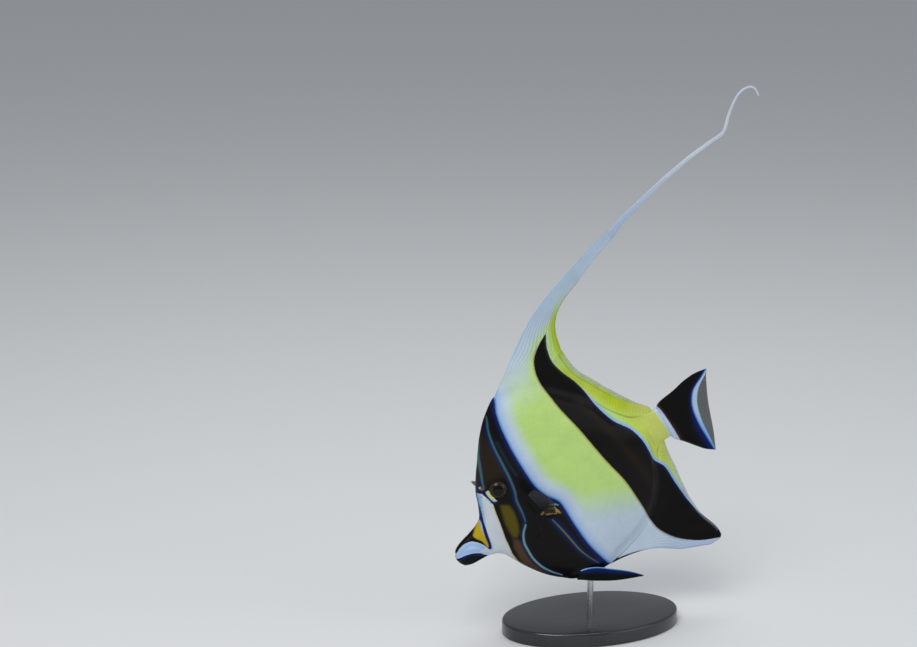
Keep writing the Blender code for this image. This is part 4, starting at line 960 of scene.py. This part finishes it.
def dorsal():
    """Dorsal fin with its whip: rays that run on up the whip, then shorter rays."""
    foot_way = path(base_line(DORSAL_BASE, back_at, 1))
    inner = [tuple(foot_way(DORSAL_SPLIT))] + DORSAL_INNER[1:]
    corner = DORSAL_CORNER
    front_way, rear_way = path(DORSAL_FRONT), path(DORSAL_REAR)
    lower_way, upper_way = path(inner[:corner + 1]), path(inner[corner:])
    lengths = np.linalg.norm(np.diff(np.array(inner), axis=0), axis=1)
    share = lengths[:corner].sum() / lengths.sum()
    low, high = 46, 150       # steps along the rays, below and above the corner
    ahead, behind = 84, 240   # steps across the whip and the fan

    # whip: rays from the front of the fin to the inner edge of the whip
    w = np.linspace(0, 1, ahead + 1)[:, None, None]
    t = np.concatenate([np.linspace(0, share, low + 1), np.linspace(share, 1, high + 1)[1:]])
    q = np.where((t <= share)[:, None], lower_way(np.minimum(t / share, 1.0)),
                 upper_way(np.clip((t - share) / (1 - share), 0, 1)))
    start = (1 - w) * front_way(0.0) + w * np.array(inner[0])
    to_foot = foot_way(DORSAL_SPLIT * w[..., 0]) - start
    whip = (1 - w) * front_way(t) + w * q + np.maximum(1 - t / share, 0.0)[None, :, None] * to_foot

    # fan: shorter rays from there to the stalk
    w = np.linspace(0, 1, behind + 1)[1:, None, None]
    tl = np.linspace(0, 1, low + 1)
    feet = foot_way(DORSAL_SPLIT + (1 - DORSAL_SPLIT) * w[..., 0])
    tips = rear_way(w[..., 0])
    fan = (1 - tl[:, None]) * feet + tl[:, None] * tips
    fan = fan + np.maximum(1 - 3 * w, 0.0) * bow(lower_way, tl)

    columns = len(t)
    upper = whip.reshape(-1, 2)
    flat = np.vstack([upper, fan.reshape(-1, 2)])
    last = ahead * columns + np.arange(low + 1)
    net = np.vstack([last[None], len(upper) + np.arange(behind * (low + 1)).reshape(behind, low + 1)])
    fan_quads = np.stack([net[:-1, :-1], net[:-1, 1:], net[1:, 1:], net[1:, :-1]], -1)
    quads = np.vstack([grid_faces(ahead + 1, columns), fan_quads.reshape(-1, 4)])
    first, others = DORSAL_RAYS
    phase = np.concatenate([np.repeat(np.linspace(0, first, ahead + 1), columns),
                            np.repeat(first + np.linspace(0, others, behind + 1)[1:], low + 1)])
    t_fan, t_whip = np.tile(tl, behind), np.tile(t, ahead + 1)
    fan_lengths = np.linalg.norm(tips - feet, axis=-1).repeat(low + 1)
    share_on = np.concatenate([np.zeros(len(t_whip)), t_fan])
    in_fan = share_on > 0
    ray = ridge(phase, share_on, 0.5)

    f, u = flat.T
    rim_rear = off_line(f, u, DORSAL_REAR, 60)
    rim_inner = away(f, u, upper_way(np.linspace(0, 1, 60)))
    rim_front = off_line(f, u, DORSAL_FRONT, 90, 6)
    rim = np.minimum(np.minimum(rim_rear, rim_inner), rim_front)
    depth = off_edge(f, u - back_at(f), back_at) + SINK
    web = 0.25 - 0.06 * share_on
    half = rooted(margin_taper(web + 0.09 * ray * smooth(depth, 2.0, 9.0), rim), depth)
    off_end = away(f, u, np.array([DORSAL_FRONT[-1], DORSAL_INNER[-1]]))
    half = half * (0.12 + 0.88 * smooth(off_end, 0.0, 5.0))
    ripple = 0.28 * np.sin(2 * pi * phase / 5.3) * smooth(share_on, 0.4, 1.0)
    sway = ripple + bend(np.maximum(f, -1.0)) * (1 - smooth(depth, 0.0, 9.0))

    fields = markings(f, u)
    margin = 0.5 + 2.1 * smooth(f, -1.0, 14.0)
    pale = smooth(margin - rim_rear, 0.0, 0.9) * in_fan * smooth(73.0 - u, 0, 14)
    dusk = hump(rim_rear - 3.1, 0.5) * in_fan * smooth(u, 20, 40)
    up_whip = smooth(u - 0.25 * f, 70, 95) * (1 - smooth(3.5 - rim_inner, 0, 4))
    sunny = hump(rim_rear - 6.0, 3.6) * smooth(u, 12, 24) * in_fan * (1 - smooth(u, 56.0, 70.0))
    lime = (1 - smooth(rim_inner, 1.6, 5.0)) * (1 - smooth(u, 88.0, 104.0)) * smooth(u, 60.0, 74.0)
    fields["light"] = layered(
        fields["light"],
        ((0.48, 0.55, 0.42), pale * 0.8),
        ((0.22, 0.24, 0.02), dusk * 0.6),
        ((0.42, 0.56, 0.70), up_whip * 0.7),
        (SKY, hump(rim_front, 0.7) * 0.6),
        ((0.52, 0.60, 0.02), sunny * 0.75),
        ((0.42, 0.55, 0.045), lime))
    fields["ray"] = ray
    fields["tone"] = streaked(ray, np.concatenate([t_whip, 0.5 * t_fan]), 0.22)
    fields["along"] = np.concatenate([t_whip * 110.0, t_fan * fan_lengths])
    fields["clear"] = np.maximum(pale * 0.5, smooth(0.9 - rim_inner, 0, 0.8) * 0.25)
    fin("dorsal_fin", np.column_stack([f, sway, u]), half, fields, FIN, SIDEWAYS,
        quads, replaces=("dorsal_fin", "dorsal_whip"))


def streamer():
    """The long filament, a thin ribbon from the end of the whip."""
    way, high, flat = path(STREAMER), curve(STREAMER_HEIGHT), curve(STREAMER_THICK)
    rows, columns = 25, 420
    t = np.linspace(0, 1, columns)
    along = unit(np.gradient(way(t), axis=0))
    across = np.stack([-along[:, 1], along[:, 0]], -1)
    w = np.linspace(-1, 1, rows)[:, None]
    place = way(t)[None] + across[None] * (high(t)[None] * w)[..., None]
    wave = np.broadcast_to(0.12 * np.sin(t * 46.0) * (1 - t), (rows, columns))
    lens = np.sqrt(np.maximum(1 - w * w, 0.0)) ** 0.8
    furrow = 1 + 0.16 * np.cos(5 * pi * w) * (1 - smooth(t, 0.0, 0.7))[None]
    emerging = 0.2 + 0.8 * smooth(t, 0.0, 0.03)
    half = np.maximum((flat(t) * emerging)[None] * lens * furrow, 0.02)
    run = np.tile(t, rows)
    ray = 0.5 + 0.5 * np.cos(5 * pi * np.repeat(w.ravel(), columns))
    light = blend((0.42, 0.53, 0.72), (0.60, 0.66, 0.76), smooth(run, 0.0, 0.6))
    fields = {"light": light, "dark": light, "ray": ray, "tone": 1 - 0.2 * (1 - ray),
              "along": run * 160.0}
    fin("dorsal_streamer", np.stack([place[..., 0], wave, place[..., 1]], -1), half, fields, FIN,
        SIDEWAYS)


def anal():
    """Anal fin: long front rays that turn shorter towards the stalk."""
    foot_way, front_way = path(base_line(ANAL_BASE, belly_at, -1)), path(ANAL_FRONT)
    rear = [ANAL_FRONT[-1]] + ANAL_REAR
    s, t, phase, run = shares(34, 7, 84)
    feet, tips = foot_way(s[..., 0]), path(rear)(s[..., 0])
    line = (1 - t) * foot_way(0.0) + t * np.array(ANAL_FRONT[-1])
    net = (1 - t) * feet + t * tips + (1 - s) * (front_way(t[..., 0]) - line)
    f, u = net[..., 0].ravel(), net[..., 1].ravel()
    ray = ridge(phase, run, 0.5)
    rim_rear = off_line(f, u, rear, 60)
    rim_front = off_line(f, u, ANAL_FRONT, 60, 4)
    rim = np.minimum(rim_rear, rim_front).reshape(run.shape)
    depth = off_edge(net[..., 0], belly_at(net[..., 0]) - net[..., 1], belly_at) + SINK
    web = 0.25 - 0.07 * run
    half = rooted(margin_taper(web + 0.09 * ray * smooth(depth, 2.0, 9.0), rim), depth)
    ripple = 0.3 * np.sin(2 * pi * phase / 6.1) * smooth(run, 0.4, 1.0)
    middle = np.stack([net[..., 0], ripple + bend(feet[..., 0]) * (1 - run), net[..., 1]], -1)
    fields = markings(f, u)
    margin = 0.4 + 1.5 * smooth(-u, 11.0, 26.0)
    pale = smooth(margin - rim_rear, 0.0, 0.8) * (u > -80)
    wash = smooth(-u, 60, 80) * (f > 0)
    fields["light"] = layered(fields["light"], ((0.50, 0.58, 0.55), pale * 0.7),
                              ((0.45, 0.57, 0.82), wash * 0.6))
    fields["ray"] = ray
    fields["tone"] = streaked(ray, 0.6 * run, 0.2)
    fields["along"] = run * np.linalg.norm(tips - feet, axis=-1)
    fields["clear"] = np.maximum(pale * 0.45, smooth(1.0 - rim_front, 0, 0.9) * 0.3)
    fin("anal_fin", middle, half, fields, FIN, SIDEWAYS)


# Caudal fin, with its own markings: where across its plane each colour ends
CAUDAL_WHITE = [(-2.0, 10.9), (-0.4, 6.7), (1.1, 2.4), (2.9, -2.8), (4.3, -8.1), (5.2, -13.0)]
CAUDAL_YELLOW = [(-7.2, 11.0), (-5.6, 8.9), (-3.3, 3.5), (-1.3, -2.4), (0.2, -8.0)]
CRESCENT_INNER = [(31.0, 27.6), (27.1, 23.1), (22.8, 18.8), (20.1, 15.3), (18.5, 11.4),
                  (17.6, 8.1), (17.2, 3.4), (17.5, -1.5), (18.4, -7.8), (20.4, -16.1),
                  (22.2, -23.5), (22.8, -26.0)]
CRESCENT_OUTER = [(31.6, 27.6), (30.9, 25.7), (28.8, 22.7), (26.2, 19.7), (23.6, 15.6),
                  (22.0, 11.8), (20.9, 7.3), (20.4, 2.0), (20.5, -2.8), (21.1, -8.4),
                  (22.3, -16.0), (23.2, -23.8), (23.5, -26.3)]


def across_at(line, h):
    """How far behind the stalk a line of the caudal fin lies at each height."""
    return place_on(traced(line, 50), h)


def caudal():
    """Caudal fin in one plane, as thick at its root as the stalk that it closes."""
    back_way = np.array((-cos(CAUDAL_SWING), sin(CAUDAL_SWING), 0.0))
    up_way = np.array((0.0, 0.0, 1.0))
    r_axis = back_way * cos(CAUDAL_DIP) - up_way * sin(CAUDAL_DIP)
    h_axis = up_way * cos(CAUDAL_DIP) + back_way * sin(CAUDAL_DIP)
    root = np.array((BACK[0][0], bend(BACK[0][0]), 0.0))
    top_way, edge_way, foot_way = path(CAUDAL_TOP), path(CAUDAL_EDGE), path(CAUDAL_FOOT)
    rays = 17
    s, t, phase, run = shares(rays, 10, 90)
    plane = (1 - t) * ((1 - s) * top_way(0.0) + s * foot_way(0.0)) + t * edge_way(s[..., 0])
    plane = plane + (1 - s) ** 2 * bow(top_way, t[..., 0]) + s ** 2 * bow(foot_way, t[..., 0])
    inside = np.array((1.2, 0.0, 0.0)) * np.maximum(1 - t / 0.2, 0.0) ** 2
    net = root + inside + r_axis * plane[..., 0:1] + h_axis * plane[..., 1:2]
    n = blade_normals(net)
    n[:, :4] = np.array((0.0, np.sign(n[len(n) // 2, 20, 1]), 0.0))
    for j in range(4, 16):
        k = (j - 4) / 12
        n[:, j] = unit(n[:, 0] * (1 - k) + n[:, 16] * k)
    brush = smooth(run, 0.75, 0.9)
    ray = ridge(phase, run, 0.42) * (1 - brush) + brush * (0.5 + 0.5 * np.cos(8 * pi * phase)) ** 2
    r, h = plane[..., 0], plane[..., 1]
    rim_side = np.minimum(off_line(r, h, CAUDAL_TOP, 50, 12),
                          off_line(r, h, CAUDAL_FOOT, 50, 12))
    rim = np.minimum(off_line(r, h, CAUDAL_EDGE, 50), rim_side + 0.6)
    near = 1 - smooth(run, 0.03, 0.34)
    web = 0.26 - 0.10 * run
    stalk_height = (1 - phase / rays) * BACK[0][1] + phase / rays * BELLY[0][1]
    half = near * (half_width(np.full(run.shape, BACK[0][0]), 0.97 * stalk_height) + 0.03)
    half = half + (1 - near) * margin_taper(web + (0.13 - 0.05 * run) * ray, rim)

    teal_edge = hump(off_line(r, h, CAUDAL_FOOT, 50, 2), 0.6).ravel()
    r, h = ((net - root) @ r_axis).ravel(), ((net - root) @ h_axis).ravel()
    white_from, black_from = across_at(CAUDAL_YELLOW, h), across_at(CAUDAL_WHITE, h)
    pale_from, grey_from = across_at(CRESCENT_INNER, h), across_at(CRESCENT_OUTER, h)
    far = r > 0.5 * (black_from + pale_from)
    light = layered(
        STALK_GOLD,
        (LAVENDER, smooth(r - white_from, -0.5, 0.7)),
        (WHITE, hump(r - 0.5 * (white_from + black_from), 1.1) * 0.8))
    bright = blend((0.26, 0.50, 0.86), (0.50, 0.68, 0.88), smooth(h, -12.0, 6.0))
    crescent = blend((0.05, 0.16, 0.62), bright, smooth(r - pale_from, 0.1, 1.3))
    margin = smooth(r - grey_from, -0.3, 0.4) * far
    light = blend(np.where(far[:, None], crescent, light), (0.050, 0.052, 0.064), margin)
    wide = 1.2 + 1.6 * smooth(-h, -6.0, 10.0)
    dark = layered(
        np.array(BLACK) * 0.8,
        ((0.060, 0.022, 0.010), hump(r - black_from, 1.5) * 0.85),
        (DEEP_BLUE, hump(np.maximum(pale_from - r, 0.0) / wide, 1.0) * (r > 9.0)),
        (TEAL, teal_edge * (1 - smooth(r, 12.0, 20.0)) * 0.6))
    edge = across_at(CAUDAL_EDGE, h)
    fields = {"light": light, "dark": dark, "bars": np.minimum(r - black_from, pale_from - r),
              "ray": ray, "tone": streaked(ray, run, 0.2), "along": run * 36.0,
              "clear": margin * 0.42 + smooth(r - edge, -0.8, 0.0) * 0.1 * far}
    fin("caudal_fin", net, half, fields, fin_paint("caudal_fin"), n,
        chart=side_map(np.column_stack([r, 0 * r, h])))


# Paired fins
SIDES = ((1, "left"), (-1, "right"))


def thick_root(root, half, run):
    """Half thickness of a paired fin: that of its root at first, then half."""
    near = np.maximum(1 - run / 0.14, 0.0)
    return near * root + (1 - near) * half


def pectorals():
    """Pectoral fins: fans of rays that stand out and bow back from the flanks."""
    rays = 18
    s, t, phase, run = shares(rays, 6, 60)
    fan = PECTORAL_FAN[0] + (PECTORAL_FAN[1] - PECTORAL_FAN[0]) * s
    reach = 0.6 + 0.4 * np.maximum(0.0, np.sin(pi * (0.2 + 0.8 * s))) ** 0.8
    reach = PECTORAL_LENGTH * reach * (1 - 0.34 * smooth(s, 0.3, 1.0))
    ray = ridge(phase, run, 0.5)
    scallop = 1 - 0.02 * smooth(t, 0.8, 1.0) * (1 - ray)[..., None]
    bulge = PECTORAL_BOW * np.sin(pi * t * 0.5) ** 2
    ripple = 0.22 * np.sin(2 * pi * s * rays / 4.3) * smooth(t, 0.3, 1.0)
    half = thick_root(0.8, 0.14 - 0.05 * run + (0.09 - 0.03 * run) * ray, run)
    half = half * (1 - 0.6 * smooth(run, 0.95, 1.0))
    on, across = run.ravel(), phase / rays
    lead = (smooth(across, 0.93, 1.0) * (run < 0.6)).ravel()
    light = layered(
        (0.03, 0.027, 0.027),
        ((0.085, 0.09, 0.10), smooth(on, 0.1, 0.9)),
        ((0.36, 0.50, 0.50), lead),
        ((0.30, 0.20, 0.04), smooth(0.07 - on, 0.0, 0.05)))
    fields = {"light": light, "dark": light, "ray": ray, "tone": streaked(ray, run, 0.4),
              "along": run * PECTORAL_LENGTH,
              "clear": smooth(on, 0.02, 0.3) * 0.66 * (1 - 0.5 * lead)}
    paint = fin_paint("pectoral_fin")
    for side, label in SIDES:
        at, n = surface(*PECTORAL_AT, side)
        axis = Vector(PECTORAL_AXIS).normalized()
        way = Vector((PECTORAL_WAY[0], side * PECTORAL_WAY[1], PECTORAL_WAY[2]))
        way = (way - axis * way.dot(axis)).normalized()
        face, centre = np.array(axis.cross(way)), np.array(at + n * 0.5)
        axis, way = np.array(axis), np.array(way)
        net = centre + axis * (PECTORAL_BASE * (2 * s - 1)) + face * side * (bulge + ripple)
        net = net + (way * np.cos(fan) + axis * np.sin(fan)) * (reach * t * scallop)
        fin("pectoral_fin_" + label, net, half, fields, paint,
            chart=paired_map(run, across))


def pelvics():
    """Pelvic fins, long and pointed, swept back along the belly."""
    rays = 6
    s, t, phase, run = shares(rays, 10, 110)
    flat = (1 - s) * path(PELVIC_LOWER)(t[..., 0]) + s * path(PELVIC_UPPER)(t[..., 0])
    ray = ridge(phase, run, 0.6)
    half = thick_root(0.75, 0.20 - 0.08 * run + (0.12 - 0.05 * run) * ray, run)
    on, across = run.ravel(), (phase / rays).ravel()
    dark = blend(BLACK, DEEP_BLUE, smooth(across, 0.45, 0.85) * 0.9)
    light = blend((0.02, 0.10, 0.40), (0.30, 0.52, 0.72), smooth(across, 0.93, 0.99))
    bars = (0.90 - across) * np.maximum(12.0 * (1 - on), 1.0) - 0.15 * smooth(on, 0.3, 0.7)
    fields = {"light": light, "dark": dark, "bars": bars, "ray": ray,
              "tone": streaked(ray, run, 0.3), "along": run * 38.0}
    paint = fin_paint("pelvic_fin")
    for side, label in SIDES:
        turn = PELVIC_RAISED[label]
        at, n = surface(*PELVIC_AT, side)
        centre = np.array(at + n * 0.1)
        f = centre[0] + flat[..., 0] * cos(turn) + flat[..., 1] * sin(turn)
        u = centre[2] + flat[..., 1] * cos(turn) - flat[..., 0] * sin(turn)
        flank = half_width(f, np.maximum(u, belly_at(f)))
        swept = abs(at.y) + 2.2 * np.sin(pi * np.minimum(run * 0.7, 0.5))
        y = side * (np.maximum(swept, flank) + PELVIC_OFF - 1.2 * (1 - smooth(run, 0.0, 0.25)))
        fin("pelvic_fin_" + label, np.stack([f, y, u], -1), half, fields, paint,
            chart=paired_map(run, across))


# Eyes, horns and stand
def turned(rings, segments, centre, axes):
    """A round form: rings of (half length, half width, height) along its three axes."""
    a = np.linspace(0, 2 * pi, segments, endpoint=False)
    ax, ay, az = (np.array(v) for v in axes)
    rows = [centre + np.outer(np.cos(a), ax) * r + np.outer(np.sin(a), ay) * s + az * h
            for r, s, h in rings]
    return capped(np.vstack(rows), len(rings), segments)


def frame_of(way):
    """Three axes at right angles, the last of them along a direction."""
    n = Vector(way).normalized()
    a = Vector((0.0, 0.0, 1.0)).cross(n).normalized()
    return a, n.cross(a), n


def eyes():
    """Eyes: flattened balls sunk into their sockets."""
    paint = eye_paint()
    turns = np.linspace(0.02, pi - 0.02, 64)
    rings = [(EYE_RADIUS * sin(a), EYE_RADIUS * sin(a), -EYE_DEPTH * cos(a)) for a in turns]
    for side, label in SIDES:
        at, n = surface(*EYE_AT, side)
        axes = frame_of(n)
        centre = np.array(at - n * EYE_SUNK)
        points, faces = turned(rings, 96, centre, axes)
        x, y, height = np.array(axes) @ (points - centre).T
        radius = np.where(height > 0, np.hypot(x, y), 9.0)  # the rim's colour behind
        piece("eye_" + label, points, faces, paint, {"radius": radius})


def horns():
    """Ribbed horns in front of the eyes, a little curved."""
    paint = horn_paint()
    k = np.linspace(-0.4, 1.0, 40)
    thick = HORN_RADIUS * np.interp(k, [-0.4, 0.0, 0.35, 0.7, 0.92, 1.0],
                                    [1.05, 1.0, 0.76, 0.46, 0.22, 0.03])
    for side, label in SIDES:
        at = np.array(surface(*HORN_AT, side)[0])
        axes = frame_of((HORN_WAY[0], side * HORN_WAY[1], HORN_WAY[2]))
        points, faces = turned(list(zip(thick, thick, HORN_LENGTH * k)), 40, at, axes)
        way = np.array(axes[2])
        along = (points - at) @ way / HORN_LENGTH
        points[:, 2] += 0.5 * np.maximum(along, 0.0) ** 2
        x, y = np.array(axes[:2]) @ (points - at).T
        ribs = 0.05 * np.cos(9 * np.arctan2(y, x)) * (1 - np.clip(along, 0, 1))
        points = points + (points - at - np.outer(along * HORN_LENGTH, way)) * ribs[:, None]
        piece("horn_" + label, points, faces, paint, {"along": along})


def stand():
    """The oval base with its rounded edge, and the rod up into the belly."""
    low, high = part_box("stand_base")
    a, b, top = (high.x - low.x) / 2 / MM, (high.y - low.y) / 2 / MM, high.z / MM
    base = [(a - inset, max(b - inset, 2.0), height) for inset, height in (
        (0.5, 0.0), (0.15, 0.15), (0.0, 0.5), (0.0, top - 1.5), (0.12, top - 0.9),
        (0.42, top - 0.42), (0.9, top - 0.12), (1.5, top), (a * 0.4, top), (a * 0.6, top))]
    low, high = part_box("stand_rod")
    radius = (high.x - low.x) / 2 / MM
    rod = [(radius, radius, low.z / MM), (radius, radius, high.z / MM)]
    for name, rings, segments, paint, slot in (
            ("stand_base", base, 256, lacquer_paint(), "base_black"),
            ("stand_rod", rod, 96, steel_paint(), "rod_steel")):
        points, faces = turned(rings, segments, np.zeros(3), np.eye(3))
        made = piece(name, points, faces, paint, place=Matrix.Identity(4))
        made.data.set_sharp_from_angle(angle=radians(40.0))


# Studio, in metres
def studio():
    me = bpy.data.meshes.new("floor")
    me.from_pydata([(-9, -9, 0), (9, -9, 0), (9, 9, 0), (-9, 9, 0)], [], [(0, 1, 2, 3)])
    floor = bpy.data.objects.new("floor", me)
    bpy.context.scene.collection.objects.link(floor)
    floor.location.z = -0.0005  # just under the stand
    me.materials.append(new_paint("floor_pale", 0.75, Base_Color=(0.72, 0.73, 0.74, 1.0))[0])
    for name, place, size, power, colour in (
            ("key", (-0.75, -0.85, 1.25), 0.8, 13.0, (1.0, 0.98, 0.95)),
            ("fill", (0.95, -0.95, 0.6), 0.9, 3.0, (0.92, 0.96, 1.0)),
            ("top", (0.1, 0.25, 1.3), 0.7, 5.0, (0.96, 0.98, 1.0))):
        lamp = bpy.data.lights.new(name, "AREA")
        lamp.size = size
        lamp.energy = power
        lamp.color = colour
        ob = bpy.data.objects.new(name, lamp)
        bpy.context.scene.collection.objects.link(ob)
        ob.location = place
        aim = Vector((-0.02, 0.0, 0.14)) - ob.location
        ob.rotation_euler = aim.to_track_quat("-Z", "Y").to_euler()
    world = bpy.data.worlds.new("studio")
    world.use_nodes = True
    sky = world.node_tree.nodes["Background"]
    sky.inputs[0].default_value = (0.86, 0.90, 0.95, 1.0)
    sky.inputs[1].default_value = 0.38
    bpy.context.scene.world = world


skin()
dorsal()
streamer()
anal()
caudal()
pectorals()
pelvics()
eyes()
horns()
stand()
studio()
